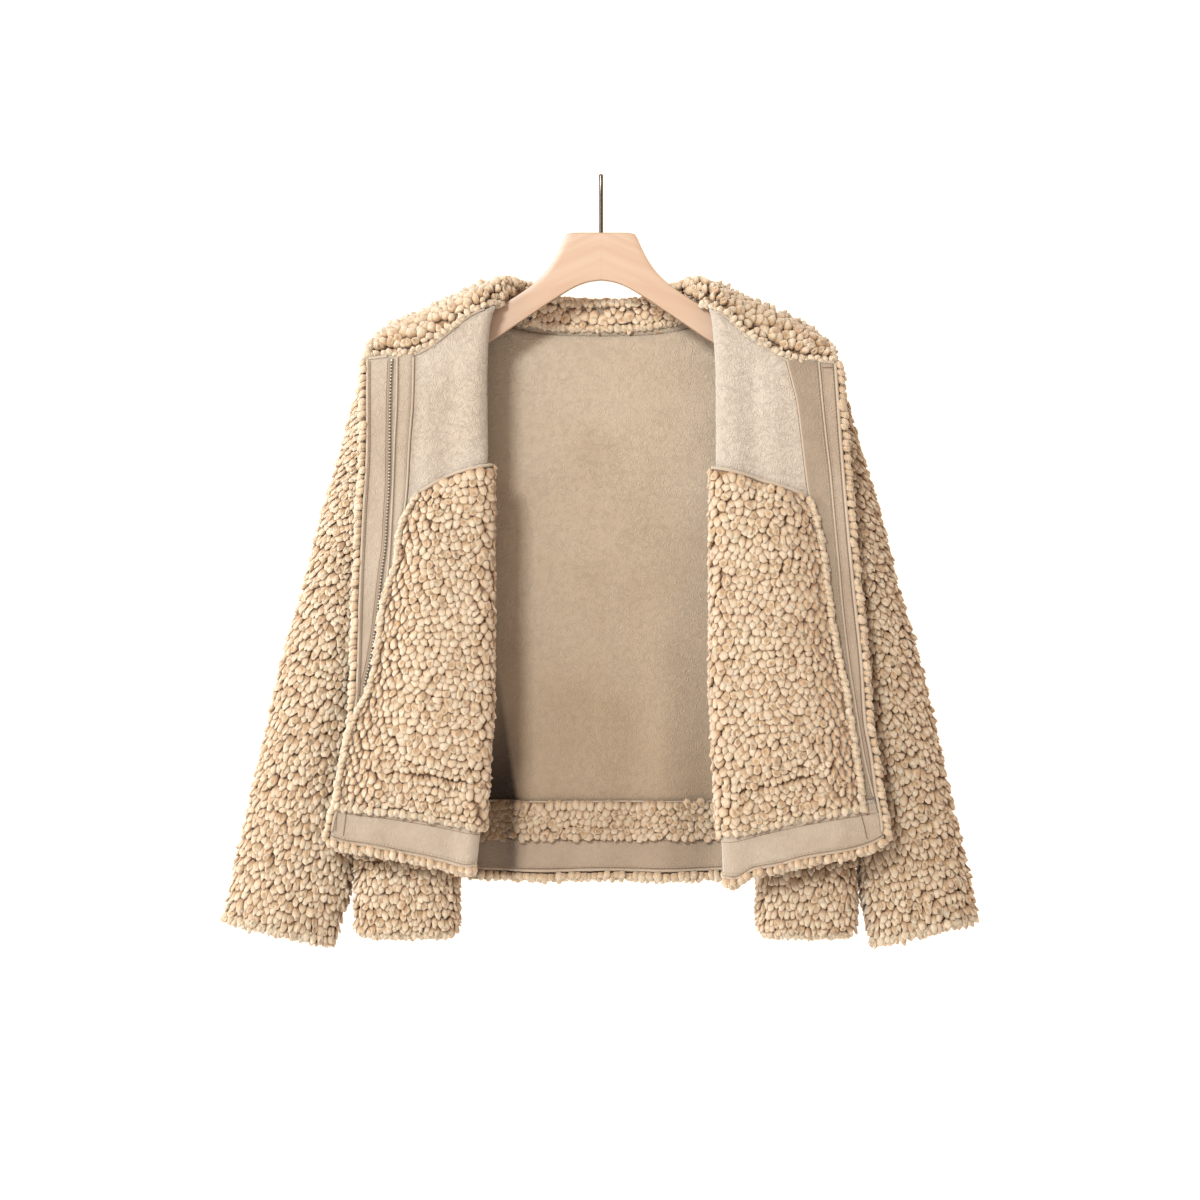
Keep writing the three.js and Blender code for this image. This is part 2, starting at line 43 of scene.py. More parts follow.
# ---------- sizes, mm ----------
CLOTH = 2.2            # suede with its knit backing
PILE_REACH = 8.0       # from the suede face to the tips of the pile
EDGE_PILE = 9.0
FOLD_RADIUS, FOLD_Y, BACK_Y, SIDE_Y, SIDE_TURN, HEM_FLARE = 10.0, -24.0, 37.0, 12.0, 34.0, 8.0
YOKE_Y = dict(front=-36.0, ridge=5.0, back=45.0)


def table(names, key, *rows):
    """Named columns, a row for each level; value(column, level) runs smoothly between the rows."""
    cols = names.split()
    data = np.array(sorted(rows, key=lambda r: r[cols.index(key)]), float)
    x = data[:, cols.index(key)]
    h = np.diff(x)

    def value(column, at):
        y = data[:, cols.index(column)]
        d = np.diff(y) / h
        m = np.zeros(len(y))
        m[0], m[-1] = d[0], d[-1]
        for i in range(1, len(y) - 1):
            if d[i - 1] * d[i] > 0:
                w1, w2 = 2 * h[i] + h[i - 1], h[i] + 2 * h[i - 1]
                m[i] = (w1 + w2) / (w1 / d[i - 1] + w2 / d[i])
        at = np.clip(np.asarray(at, float), x[0], x[-1])
        i = np.clip(np.searchsorted(x, at) - 1, 0, len(h) - 1)
        t = (at - x[i]) / h[i]
        return ((2 * t**3 - 3 * t**2 + 1) * y[i] + (t**3 - 2 * t**2 + t) * h[i] * m[i]
                + (-2 * t**3 + 3 * t**2) * y[i + 1] + (t**3 - t**2) * h[i] * m[i + 1])
    return value


FOLD = table("z l r", "z", (-133, 103.5, 106.5), (-145, 109, 110), (-171, 112.7, 113), (-207, 113.8, 114.7), (-294, 113, 115),
             (-509, 113, 114.5), (-549, 114, 116.5), (-589, 117, 117.5), (-629, 119, 120), (-700, 126, 123))
FRONT_EDGE = table("z l r", "z", (-187, 243, 243.5), (-269, 243, 249.3), (-349, 247, 255.7), (-418, 250, 262), (-497, 252, 270),
                   (-547, 255, 273), (-586, 261, 279.5), (-626, 268, 285), (-645, 275, 289), (-666, 279, 291))
FLAP_TOP = table("x l r", "x", (101, -132, -133), (120, -138, -141), (135, -146, -153), (148, -157, -165), (163, -169, -174),
                 (178, -179, -183), (186, -182, -188), (210, -184, -189), (235, -187, -191), (245, -188, -192))
FLAP_HEM = table("x l r", "x", (116, -699, -714), (133, -704, -716), (150, -700, -707), (176, -694, -702), (202, -689, -695),
                 (231, -683, -690), (253, -680, -686), (271, -674, -680), (279, -666, -676), (291, -660, -666))
UNDER_HEM = table("x l r", "x", (116, -699, -713), (150, -697, -704), (190, -684, -690), (216, -672, -678), (234, -667, -671), (247, -666, -669))
SIDE_SEAM = table("z l r turned", "z", (-182, 235.9, 235.9, 0), (-290, 223.3, 223.3, 0), (-320, 219.5, 219.5, .04), (-345, 213, 213, .2),
                  (-370, 206.5, 206.5, .6), (-392, 203, 203, 1), (-430, 206, 206, 1), (-455, 212, 213, 1), (-525, 220, 223, 1),
                  (-600, 227, 234, 1), (-655, 231, 241, 1), (-700, 234, 246, 1))
YOKE = table("x l r back", "x", (101, -105, -104, -150), (115, -108, -109, -154), (143, -120, -122, -164), (157, -126, -127.5, -170),
             (177, -136, -137, -179), (204, -147, -150, -191), (219, -155, -160, -198), (231, -167, -171, -203))
COLLAR = table("x top bottom y", "x", (0, -126.6, -160.3, 36), (30, -126.2, -159.8, 35), (45, -124, -158.9, 33), (60, -117, -157.4, 29.5),
               (72, -111, -156, 24), (88, -106.5, -152.3, 14), (100.6, -105.5, -149.1, 8))
BACK_TOP = table("x z", "x", (0, -161.3), (40, -160.4), (70, -157.4), (88, -153.4), (101, -150.4), (115, -154.4), (157, -170.4),
                 (204, -191.4), (231, -203.4), (240, -206))
BACK_HEM = table("x z", "x", (0, -714), (60, -715), (125, -713), (180, -698), (214, -679), (234, -669), (247, -668))
BACK_FOLDS = [dict(x=-56, width=24, depth=-5, start=-300), dict(x=27, width=22, depth=4, start=-400), dict(x=64, width=20, depth=-4.5, start=-330),
              dict(x=-100, width=14, depth=5, start=-450), dict(x=110, width=16, depth=4, start=-420)]
SLEEVE = table("n outX outZ inL inR inZ half", "n", (0, 237, -179, 212, 212, -392, 32), (1, 249, -226, 213.5, 213.5, -405, 33),
               (2, 267, -289, 217, 217, -428, 34), (3, 283, -343, 222, 223, -452, 34), (4, 302, -418, 229.5, 231, -500, 33),
               (5, 319, -475, 234, 236, -532, 32), (6, 336, -546, 240, 246, -590, 30), (7, 352, -617, 244, 254, -652, 29),
               (8, 369, -689, 251, 259, -716, 28), (9, 381, -746, 267, 270, -772, 27))
TUBE = table("z inL outL inR outR y half", "z", (-560, 134, 208, 146, 216, 24, 11), (-605, 136, 212, 148, 220, 18, 15), (-632, 137, 214, 150, 224, 7, 19),
             (-672, 139, 216, 152, 226, 6, 21), (-690, 141, 246, 155, 256, 6, 22), (-720, 142, 249, 156, 259, 6, 23),
             (-758, 142, 249, 156, 259.5, 6, 23), (-765, 147, 244, 161, 254.5, 6, 20))
POCKET_SIDE = table("z l r", "z", (-321, 180, 201), (-331, 186, 207.5), (-352, 196, 214), (-395, 203, 221.5), (-430, 215, 225.5), (-484, 222, 235),
                    (-519, 230, 242.5), (-541, 242, 246), (-560, 249, 249), (-586, 255, 252.5), (-612, 260, 256.5), (-640, 263, 260))
POCKET_TOP = table("x l r", "x", (103, -293, -295), (137, -301, -303), (166, -312, -312), (180, -321, -316), (202, -331, -325), (208, -333, -333))
POCKET_HEM = table("x l r", "x", (105, -657, -662), (141, -650, -658), (178, -643, -649), (214, -638, -642), (243, -635, -637), (291, -629, -631))
FACING_L = table("z inner", "z", (-186, 187), (-229, 188), (-269, 191), (-321, 194), (-352, 197.5), (-395, 204.5), (-430, 216.5), (-484, 223.5),
                 (-519, 231.5), (-530, 237.5))
FACING_R = table("z inner seam", "z", (-190, 186, 217), (-234, 196.6, 221), (-269, 201, 224.7), (-303, 205, 228.7), (-333, 209.5, 231.3),
                 (-352, 215.2, 233), (-395, 222.7, 237), (-430, 226.7, 240), (-484, 236, 246), (-541, 247.5, 254.5), (-586, 254, 262), (-628, 260.5, 272))
ZIP = table("z x ridge", "z", (-190, 209.5, 203.5), (-229, 211, 204), (-269, 211.5, 206), (-309, 212, 207.5), (-346, 214, 209), (-375, 215.6, 210.5),
            (-400, 219, 212.5), (-449, 224.5, 218.4), (-493, 231.5, 226), (-514, 236.5, 231))

# creases on the folded-back fronts: a line from head to foot, its half width and depth; positive stands out
FLAP_CREASES = dict(
    l=[dict(x0=-128, z0=-170, x1=-133, z1=-330, width=9, depth=1.6), dict(x0=-147, z0=-190, x1=-157, z1=-340, width=8, depth=-1.7),
       dict(x0=-176, z0=-205, x1=-172, z1=-330, width=9, depth=1.2), dict(x0=-178, z0=-330, x1=-170, z1=-600, width=30, depth=4.2),
       dict(x0=-222, z0=-560, x1=-226, z1=-690, width=10, depth=1.8), dict(x0=-152, z0=-600, x1=-150, z1=-700, width=11, depth=-1.8)],
    r=[dict(x0=131, z0=-175, x1=135, z1=-330, width=9, depth=1.5), dict(x0=150, z0=-195, x1=158, z1=-340, width=8, depth=-1.8),
       dict(x0=172, z0=-210, x1=178, z1=-330, width=8, depth=1.3), dict(x0=170, z0=-330, x1=180, z1=-600, width=32, depth=4.4),
       dict(x0=232, z0=-560, x1=238, z1=-690, width=10, depth=1.6), dict(x0=156, z0=-610, x1=152, z1=-705, width=10, depth=-1.7)])


def soft(t):
    t = np.clip(t, 0, 1)
    return t * t * (3 - 2 * t)


def lerp(a, b, t):
    return a + (b - a) * t


def V(*a):
    return np.stack(np.broadcast_arrays(*[np.asarray(x, float) for x in a]), -1)


def creased(rows, x, z):
    total = np.zeros(np.broadcast(x, z).shape)
    for c in rows:
        dx, dz = c["x1"] - c["x0"], c["z1"] - c["z0"]
        length = math.hypot(dx, dz)
        along = ((x - c["x0"]) * dx + (z - c["z0"]) * dz) / length
        across = ((x - c["x0"]) * dz - (z - c["z0"]) * dx) / length
        fade = soft((along + 18) / 45) * soft((length + 18 - along) / 45)
        total = total + c["depth"] * np.exp(-((across / c["width"]) ** 2)) * fade
    return total


# ---------- surfaces ----------
def fold_y(z):
    return FOLD_Y - HEM_FLARE * soft((-np.asarray(z, float) - 260) / 440)


def front_xyz(hand, part, t, z, outer=None):
    """A point of the suede face of a front: side turn, under layer, fold and folded-back flap."""
    sign = -1 if hand == "l" else 1
    cx, cy = FOLD(hand, z) + FOLD_RADIUS, fold_y(z)
    if part == "fold":
        a = np.radians(t)
        x, y = cx - FOLD_RADIUS * np.cos(a), cy - FOLD_RADIUS * np.sin(a)
        y = y - creased(FLAP_CREASES[hand], sign * x, z) * soft((a) / (math.pi / 2))
    elif part == "flap":
        edge = FRONT_EDGE(hand, z) - EDGE_PILE if outer is None else outer
        x, y = lerp(cx, edge, t), cy - FOLD_RADIUS
        y = y - creased(FLAP_CREASES[hand], sign * x, z)
    else:
        seam, turned, inner = SIDE_SEAM(hand, z), np.clip(SIDE_SEAM("turned", z), 0, 1), cy + FOLD_RADIUS
        if part == "under":
            x, y = lerp(cx, seam - SIDE_TURN, t), inner
        else:
            a = t * math.pi / 2
            x = seam - SIDE_TURN + SIDE_TURN * lerp(t, np.sin(a), turned)
            y = inner + (SIDE_Y - .6 - inner) * turned * (1 - np.cos(a))
    return V(sign * x, y, z)


def front_grid(hand, rows=84):
    cols = ([("turn", t) for t in np.linspace(1, .1, 9)] + [("under", t) for t in np.linspace(1, .06, 13)]
            + [("fold", t) for t in np.linspace(-90, 90, 13)] + [("flap", t) for t in np.linspace(.035, 1, 28)])
    v = np.linspace(0, 1, rows)
    out = []
    for part, t in cols:
        behind = part in ("turn", "under") or (part == "fold" and t < 0)
        top_x = abs(front_xyz(hand, part, t, np.array([-175.]))[0, 0])
        hem_x = abs(front_xyz(hand, part, t, np.array([-690.]))[0, 0])
        top = FLAP_TOP(hand, top_x) - (1 if behind else 0)
        hem = (UNDER_HEM if behind else FLAP_HEM)(hand, hem_x) + (6 if part in ("turn", "under") else EDGE_PILE)
        out.append(front_xyz(hand, part, t, lerp(top, hem, v)))
    return np.stack(out, 1), cols


def back_fold(x, z):
    return sum(f["depth"] * soft((f["start"] - z) / 260) * np.exp(-(((x - f["x"]) / f["width"]) ** 2)) for f in BACK_FOLDS)


def back_xyz(hand, part, t, z):
    sign = -1 if hand == "l" else 1
    seam, turned = SIDE_SEAM(hand, z), np.clip(SIDE_SEAM("turned", z), 0, 1)
    if part == "flat":
        x = t * (seam - SIDE_TURN)
    else:
        x = seam - SIDE_TURN + SIDE_TURN * lerp(t, np.sin(t * math.pi / 2), turned)
    y = BACK_Y + back_fold(sign * x, z)
    if hand == "l":
        line = np.interp(-z, [509, 550, 591, 632, 720], [101, 92, 86, 83, 83])
        y = y + 5.5 * soft((x - line) / 6) * soft((-z - 500) / 90) * (1 - soft((x - 150) / 40))
    if part == "turn":
        y = lerp(y, lerp(y, SIDE_Y + .6, turned), 1 - np.cos(t * math.pi / 2))
    return V(sign * x, y, z)


def back_grid(rows=84):
    turn, flat = [("turn", t) for t in np.linspace(1, .1, 8)], [("flat", t) for t in np.linspace(1, .033, 27)]
    cols = [("l", *c) for c in turn + flat] + [("l", "flat", 0.)] + [("r", *c) for c in (turn + flat)[::-1]]
    v = np.linspace(0, 1, rows)
    out = []
    for hand, part, t in cols:
        top_x = abs(back_xyz(hand, part, t, np.array([-200.]))[0, 0])
        hem_x = abs(back_xyz(hand, part, t, np.array([-690.]))[0, 0])
        out.append(back_xyz(hand, part, t, lerp(BACK_TOP("z", top_x), BACK_HEM("z", hem_x) + EDGE_PILE, v)))
    return np.stack(out, 1)


def yoke_grid(hand, rows=28, cols=40):
    sign = -1 if hand == "l" else 1
    a = np.linspace(0, math.pi, cols)
    out = []
    for x in np.linspace(96.5, 231.5, rows):
        front = lerp(-15.0, YOKE_Y["front"], soft((x - 96) / 24))
        foot = np.where(a <= math.pi / 2, FLAP_TOP(hand, x) + 2.4, YOKE("back", x) + 1.2)
        reach = np.where(a <= math.pi / 2, YOKE_Y["ridge"] - front, YOKE_Y["back"] - YOKE_Y["ridge"])
        out.append(V(sign * x, YOKE_Y["ridge"] - reach * np.cos(a), lerp(foot, YOKE(hand, x) - 1.0, np.sin(a))))
    return np.stack(out, 0)


def collar_grid(cols=64, rows=12):
    t = np.linspace(0, 1, rows)
    out = []
    for x in np.linspace(-103, 103, cols):
        ax = abs(x)
        out.append(V(x, lerp(BACK_Y, COLLAR("y", ax), t * t), lerp(COLLAR("bottom", ax) + 3.5, COLLAR("top", ax) + lerp(-2.4, -6.0, soft((ax - 58) / 30)), t)))
    return np.stack(out, 0)


def sleeve_grid(hand, rows=92, around=52, last=9.0):
    sign = -1 if hand == "l" else 1
    a = np.linspace(0, 2 * math.pi, around, endpoint=False)
    out = []
    for n in np.linspace(0, last, rows):
        t = (1 + np.cos(a)) / 2
        inx = SLEEVE("inL" if hand == "l" else "inR", n)
        out.append(V(sign * lerp(inx, SLEEVE("outX", n), t), SIDE_Y + SLEEVE("half", n) * np.sin(a), lerp(SLEEVE("inZ", n), SLEEVE("outZ", n), t)))
    return np.stack(out, 0)


def tube_grid(hand, rows=40, around=44):
    sign = -1 if hand == "l" else 1
    a = np.linspace(0, 2 * math.pi, around, endpoint=False)
    sq = lambda v: np.sign(v) * np.abs(v) ** .62
    out = []
    for z in np.linspace(-560, -765, rows):
        i, o = (TUBE("inL", z), TUBE("outL", z)) if hand == "l" else (TUBE("inR", z), TUBE("outR", z))
        out.append(V(sign * lerp(i, o, (1 + sq(np.cos(a))) / 2), TUBE("y", z) + TUBE("half", z) * sq(np.sin(a)), z))
    return np.stack(out, 0)


def on_flap_grid(hand, outer, top, hem, folds, rows=48, flaps=24):
    cols = [("fold", t) for t in folds] + [("flap", t) for t in np.linspace(1 / flaps, 1, flaps)]
    v = np.linspace(0, 1, rows)
    out = []
    for part, t in cols:
        place = lambda z: front_xyz(hand, part, t, z, outer(z))
        head, foot = top(place), hem(place)
        out.append(place(lerp(head, foot, v)))
    return np.stack(out, 1)


def pocket_grid(hand):
    ax = lambda place, z: abs(place(np.array([float(z)]))[0, 0])
    return on_flap_grid(hand, lambda z: POCKET_SIDE(hand, z), lambda p: float(POCKET_TOP(hand, ax(p, -325))),
                        lambda p: float(POCKET_HEM(hand, ax(p, -640))), np.linspace(0, 90, 8), rows=56, flaps=26)


def hem_grid(hand):
    ax = lambda place, z: abs(place(np.array([float(z)]))[0, 0])
    return on_flap_grid(hand, lambda z: FRONT_EDGE(hand, z) - EDGE_PILE, lambda p: float(POCKET_HEM(hand, ax(p, -645))) - .4,
                        lambda p: float(FLAP_HEM(hand, ax(p, -680))) + EDGE_PILE, np.linspace(20, 90, 6), rows=10, flaps=30)


def strip_grid(hand, inner, outer, top, bottom, rows=70, cols=9):
    sign = -1 if hand == "l" else 1
    v = np.linspace(0, 1, rows)
    out = []
    for t in np.linspace(0, 1, cols):
        head = min(top, float(FLAP_TOP(hand, lerp(inner(-195.), outer(-195.), t))) - 1.0)
        z = lerp(head, bottom, v)
        x = lerp(inner(z), outer(z), t)
        out.append(V(sign * x, fold_y(z) - FOLD_RADIUS - creased(FLAP_CREASES[hand], sign * x, z), z))
    return np.stack(out, 1)


def back_band_grid(top, bottom, rows=8, cols=60):
    v = np.linspace(0, 1, rows)
    out = []
    for t in np.linspace(-.93, .93, cols):
        hand = "l" if t < 0 else "r"
        hem = BACK_HEM("z", abs(back_xyz(hand, "flat", abs(t), np.array([-690.]))[0, 0])) + 11
        out.append(back_xyz(hand, "flat", abs(t), lerp(top, max(bottom, float(hem)), v)))
    return np.stack(out, 1)


# ---------- mesh building ----------
def normals(G, ring=False):
    if ring:
        du = np.roll(G, -1, 1) - np.roll(G, 1, 1)
    else:
        du = np.gradient(G, axis=1)
    dv = np.gradient(G, axis=0)
    n = np.cross(du, dv)
    return n / np.maximum(np.linalg.norm(n, axis=-1, keepdims=True), 1e-9)


def mesh(name, verts, faces, smooth=True, colour=None, uv=None):
    """faces: an int array of quads and/or triangles, or a list of such arrays."""
    arrays = faces if isinstance(faces, list) else [faces]
    me = bpy.data.meshes.new(name)
    verts = np.asarray(verts, np.float32)
    me.vertices.add(len(verts))
    me.vertices.foreach_set("co", (verts * MM).ravel())
    loops = np.concatenate([f.ravel() for f in arrays]).astype(np.int32)
    totals = np.concatenate([np.full(len(f), f.shape[1]) for f in arrays]).astype(np.int32)
    starts = np.concatenate([[0], np.cumsum(totals)[:-1]]).astype(np.int32)
    me.loops.add(len(loops))
    me.loops.foreach_set("vertex_index", loops)
    me.polygons.add(len(totals))
    me.polygons.foreach_set("loop_start", starts)
    me.polygons.foreach_set("use_smooth", np.full(len(totals), smooth))
    me.update(calc_edges=True)
    if colour is not None:
        attribute = me.color_attributes.new("tone", "FLOAT_COLOR", "POINT")
        attribute.data.foreach_set("color", np.asarray(colour, np.float32).ravel())
    me.validate(verbose=False)
    ob = bpy.data.objects.new(name, me)
    bpy.context.scene.collection.objects.link(ob)
    return ob


def shell(name, A, B, ring=False):
    """A closed thin wall between two grids, A outside."""
    r, c = A.shape[:2]
    verts = np.concatenate([A.reshape(-1, 3), B.reshape(-1, 3)])
    idx = np.arange(r * c).reshape(r, c)
    if ring:
        idx = np.concatenate([idx, idx[:, :1]], 1)
    a, b, d, e = idx[:-1, :-1].ravel(), idx[:-1, 1:].ravel(), idx[1:, 1:].ravel(), idx[1:, :-1].ravel()
    n = r * c
    quads = [np.stack([a, b, d, e], 1), np.stack([a + n, e + n, d + n, b + n], 1)]
    t, u = idx[0, :-1], idx[0, 1:]
    quads.append(np.stack([u, t, t + n, u + n], 1))
    t, u = idx[-1, :-1], idx[-1, 1:]
    quads.append(np.stack([t, u, u + n, t + n], 1))
    if not ring:
        t, u = idx[:-1, 0], idx[1:, 0]
        quads.append(np.stack([t, u, u + n, t + n], 1))
        t, u = idx[:-1, -1], idx[1:, -1]
        quads.append(np.stack([u, t, t + n, u + n], 1))
    quads = np.concatenate(quads)
    p = verts[quads]
    volume = np.einsum("ij,ij->i", p[:, 0], np.cross(p[:, 1], p[:, 2])).sum() + np.einsum("ij,ij->i", p[:, 0], np.cross(p[:, 2], p[:, 3])).sum()
    if volume < 0:
        quads = quads[:, ::-1]
    ob = mesh(name, verts, quads)
    return ob


def sample(G, i, j, ring=False):
    """Bilinear values of a grid at float rows i and columns j."""
    r, c = G.shape[:2]
    i = np.clip(i, 0, r - 1.0001)
    i0 = i.astype(int)
    if ring:
        j = j % c
        j0 = j.astype(int) % c
        j1 = (j0 + 1) % c
    else:
        j = np.clip(j, 0, c - 1.0001)
        j0 = j.astype(int)
        j1 = j0 + 1
    fi, fj = (i - i0)[:, None], (j - np.floor(j))[:, None]
    return (G[i0, j0] * (1 - fi) * (1 - fj) + G[i0, j1] * (1 - fi) * fj + G[i0 + 1, j0] * fi * (1 - fj) + G[i0 + 1, j1] * fi * fj)


def sites(G, spacing, rng, ring=False, jitter=.30, margin=0.0, aspect=1.0):
    """Uneven places for tufts, about spacing apart, as float rows and columns of the grid."""
    r, c = G.shape[:2]
    down = np.concatenate([[0], np.cumsum(np.linalg.norm(np.diff(G, axis=0), axis=-1).mean(1))])
    H = np.concatenate([G, G[:, :1]], 1) if ring else G
    I, J = [], []
    step, spacing, k = spacing * .866 * math.sqrt(aspect), spacing / math.sqrt(aspect), 0
    for s in np.arange(margin + step * .5, down[-1] - margin, step):
        i = np.interp(s, down, np.arange(r))
        i0 = min(int(i), r - 2)
        line = H[i0] * (1 - (i - i0)) + H[i0 + 1] * (i - i0)
        across = np.concatenate([[0], np.cumsum(np.linalg.norm(np.diff(line, axis=0), axis=-1))])
        n = max(int(round((across[-1] - 2 * margin) / spacing)), 1)
        q = margin + (np.arange(n) + (.25 if k % 2 else .75)) * (across[-1] - 2 * margin) / n
        q = q + rng.uniform(-jitter, jitter, n) * spacing
        ss = s + rng.uniform(-jitter, jitter, n) * spacing
        if not ring:
            q = np.clip(q, margin, across[-1] - margin)
        else:
            q = q % across[-1]
        J.append(np.interp(q, across, np.arange(len(across))))
        I.append(np.interp(np.clip(ss, margin, down[-1] - margin), down, np.arange(r)))
        k += 1
    return np.concatenate(I), np.concatenate(J)


SEGMENTS = 8
EDGE_ROOM = 3.3          # least half width of a tuft on an edge
RING_SHAPE = [(1.0, 0.0), (1.22, .62), (.80, .92)]     # radius share, height share


def tufts(name, P, N, rng, spacing, height, nap=(0, 0, -1), lean=.36, stretch=None, fill=1.0, scale=None, pale=None, shingle=.24):
    """Curled pebbles of pile in one mesh, each as wide as the room between its neighbours.
    P are their feet, N the way they stand, nap the way the pile is brushed."""
    n = len(P)
    tree = kdtree.KDTree(n)
    for i, p in enumerate(P):
        tree.insert(p, i)
    tree.balance()
    K = 9
    near = np.array([[f[1] for f in tree.find_n(p, K + 1)][1:] for p in P])
    N = N / np.linalg.norm(N, axis=1, keepdims=True)
    nap = np.broadcast_to(np.asarray(nap, float), (n, 3))
    t1 = nap - (nap * N).sum(1, keepdims=True) * N
    flat = np.linalg.norm(t1, axis=1, keepdims=True)
    t1 = np.where(flat > .08, t1 / np.maximum(flat, 1e-6), np.cross(N, [1, 0, 0]) + 1e-4)
    t1 /= np.linalg.norm(t1, axis=1, keepdims=True)
    t2 = np.cross(N, t1)
    brush = t1
    H = height * rng.uniform(.80, 1.10, n)
    if scale is not None:
        H = H * scale
    th = np.linspace(0, 2 * math.pi, SEGMENTS, endpoint=False)[None] + rng.uniform(0, 6.28, n)[:, None]
    gap = P[near] - P[:, None]
    u, v = np.einsum("nkj,nj->nk", gap, t1), np.einsum("nkj,nj->nk", gap, t2)
    away = np.sqrt(u * u + v * v) + 1e-6
    facing = np.einsum("nkj,nj->nk", N[near], N)
    away = np.where((facing < .1) | (away < .8), 1e3, away)
    aim = (np.cos(th)[:, :, None] * u[:, None] + np.sin(th)[:, :, None] * v[:, None]) / away[:, None]
    room = np.where(aim > .12, away[:, None] / 2 / np.maximum(aim, .12), 1e3).min(2)
    low, high = min(spacing), max(spacing)
    limit = np.clip(np.sort(away, 1)[:, 2], low * .7, high * 1.1)[:, None] * .66
    room = np.minimum(room, limit) * fill
    room = np.maximum(room, low * .22 if pale is None else np.where(pale > 0, EDGE_ROOM, low * .22)[:, None])
    room = room * (1 + .10 * np.sin(2 * th + rng.uniform(0, 6.28, n)[:, None]))
    du, dv = np.cos(th) * room, np.sin(th) * room
    tip = brush * (lean * H * rng.uniform(.2, 1.5, n))[:, None] + (t2 * rng.normal(0, .20, n)[:, None] + t1 * rng.normal(0, .20, n)[:, None]) * H[:, None]
    if pale is not None:
        tip = tip * (1 - .6 * pale[:, None])
    curl = rng.uniform(0, 1, n)
    verts, tone = [], []
    petal = rng.uniform(.3, 1.4, n)[:, None] * shingle
    # painted shade and light: each ring's tone is its height share, which the pile material turns brown low in the
    # crevices and cream at the tips; the side raised along the nap gets a lighter tone
    for r, h in RING_SHAPE:
        ahead = np.cos(th)
        reach = r * np.where(ahead > 0, 1 + petal * h * ahead, 1 - .35 * petal * h * -ahead)
        rise = h + petal * h * ahead * .55
        verts.append(P[:, None] + t1[:, None] * (du * reach)[..., None] + t2[:, None] * (dv * r * (1 - .35 * petal * np.abs(ahead)))[..., None]
                     + N[:, None] * (H[:, None] * rise)[..., None] + tip[:, None] * h ** 1.5)
        tone.append(np.clip(h + petal * h * ahead * .35, 0, 1))
    # an uneven rim, so that some tufts read as curls; its tone follows the rim's height, painted lighter where it rises
    # and darker where it dips
    rim = 1 + .16 * np.cos(th + rng.uniform(0, 6.28, n)[:, None]) * (curl < .5)[:, None]
    verts[2] = verts[2] + N[:, None] * (H[:, None] * (rim - 1) * .6)[..., None]
    tone[2] = np.clip(tone[2] * rim, 0, 1)
    # some tufts get a dented top, and their top vertex a darker tone: painted shade in the dent
    top_h = np.where(curl < .34, .74, 1.02)
    side = rng.uniform(-.3, .3, (n, 2)) * room.mean(1)[:, None]
    top = P + N * (H * top_h)[:, None] + tip * (top_h ** 1.5)[:, None] + t1 * side[:, :1] + t2 * side[:, 1:]
    verts = np.concatenate([np.stack(verts, 1).reshape(n, -1, 3), top[:, None], (P - N * .15)[:, None]], 1)
    heights = np.concatenate([np.stack(tone, 1).reshape(n, -1), np.where(curl < .34, .55, 1.0)[:, None], np.zeros((n, 1))], 1)
    # pale edge tufts take a higher tone, so less of the painted crevice shade
    if pale is not None:
        heights = heights * (1 - pale[:, None]) + pale[:, None] * (.76 + .24 * heights)
    per = verts.shape[1]
    S = SEGMENTS
    quads, tris = [], []
    for k in range(len(RING_SHAPE) - 1):
        for s in range(S):
            quads.append((k * S + s, k * S + (s + 1) % S, (k + 1) * S + (s + 1) % S, (k + 1) * S + s))
    last = (len(RING_SHAPE) - 1) * S
    for s in range(S):
        tris.append((last + s, last + (s + 1) % S, per - 2))
        tris.append(((s + 1) % S, s, per - 1))
    off = (np.arange(n) * per)[:, None, None]
    faces = [(np.array(quads)[None] + off).reshape(-1, 4), (np.array(tris)[None] + off).reshape(-1, 3)]
    c = np.zeros((n, per, 4))
    c[..., 0] = heights
    c[..., 1] = rng.uniform(0, 1, n)[:, None]
    c[..., 2] = rng.uniform(0, 1, n)[:, None]
    c[..., 3] = 1
    return mesh(name, verts.reshape(-1, 3), faces, colour=c.reshape(-1, 4))


def pile_on(name, G, out, lift, spacing, height, rng, ring=False, extra=(), scale=None, margin_rows=0.0, aspect=1.0, bend=None, **kw):
    """Tufts all over a grid, standing `lift` off it on its `out` side, and on the edges given in extra.
    spacing is one number, or rows of (spacing, which feet it counts for)."""
    N = normals(G, ring) * out
    if bend is not None:
        N = N + bend
        N = N / np.linalg.norm(N, axis=-1, keepdims=True)
    zones = spacing if isinstance(spacing, list) else [(spacing, None)]
    P, Q = [], []
    for step, mine in zones:
        i, j = sites(G, step, rng, ring, margin=margin_rows, aspect=aspect)
        p, q = sample(G, i, j, ring), sample(N, i, j, ring)
        if mine is not None:
            keep = mine(p)
            p, q = p[keep], q[keep]
        P.append(p)
        Q.append(q)
    P, Q = np.concatenate(P), np.concatenate(Q)
    P = P + Q * lift
    s = np.ones(len(P)) if scale is None else scale(P)
    keep = s > .02
    P, Q, s = P[keep], Q[keep], s[keep]
    body = len(P)
    for ep, en, es in [e[:3] for e in extra]:
        P, Q, s = np.concatenate([P, ep]), np.concatenate([Q, en]), np.concatenate([s, es])
    sizes = [z[0] for z in zones]
    pale = np.concatenate([np.zeros(body)] + [np.full(len(e[0]), e[3] if len(e) > 3 else .85) for e in extra])
    return tufts(name, P, Q, rng, (min(sizes), max(sizes)), height, scale=s, pale=pale, **kw)


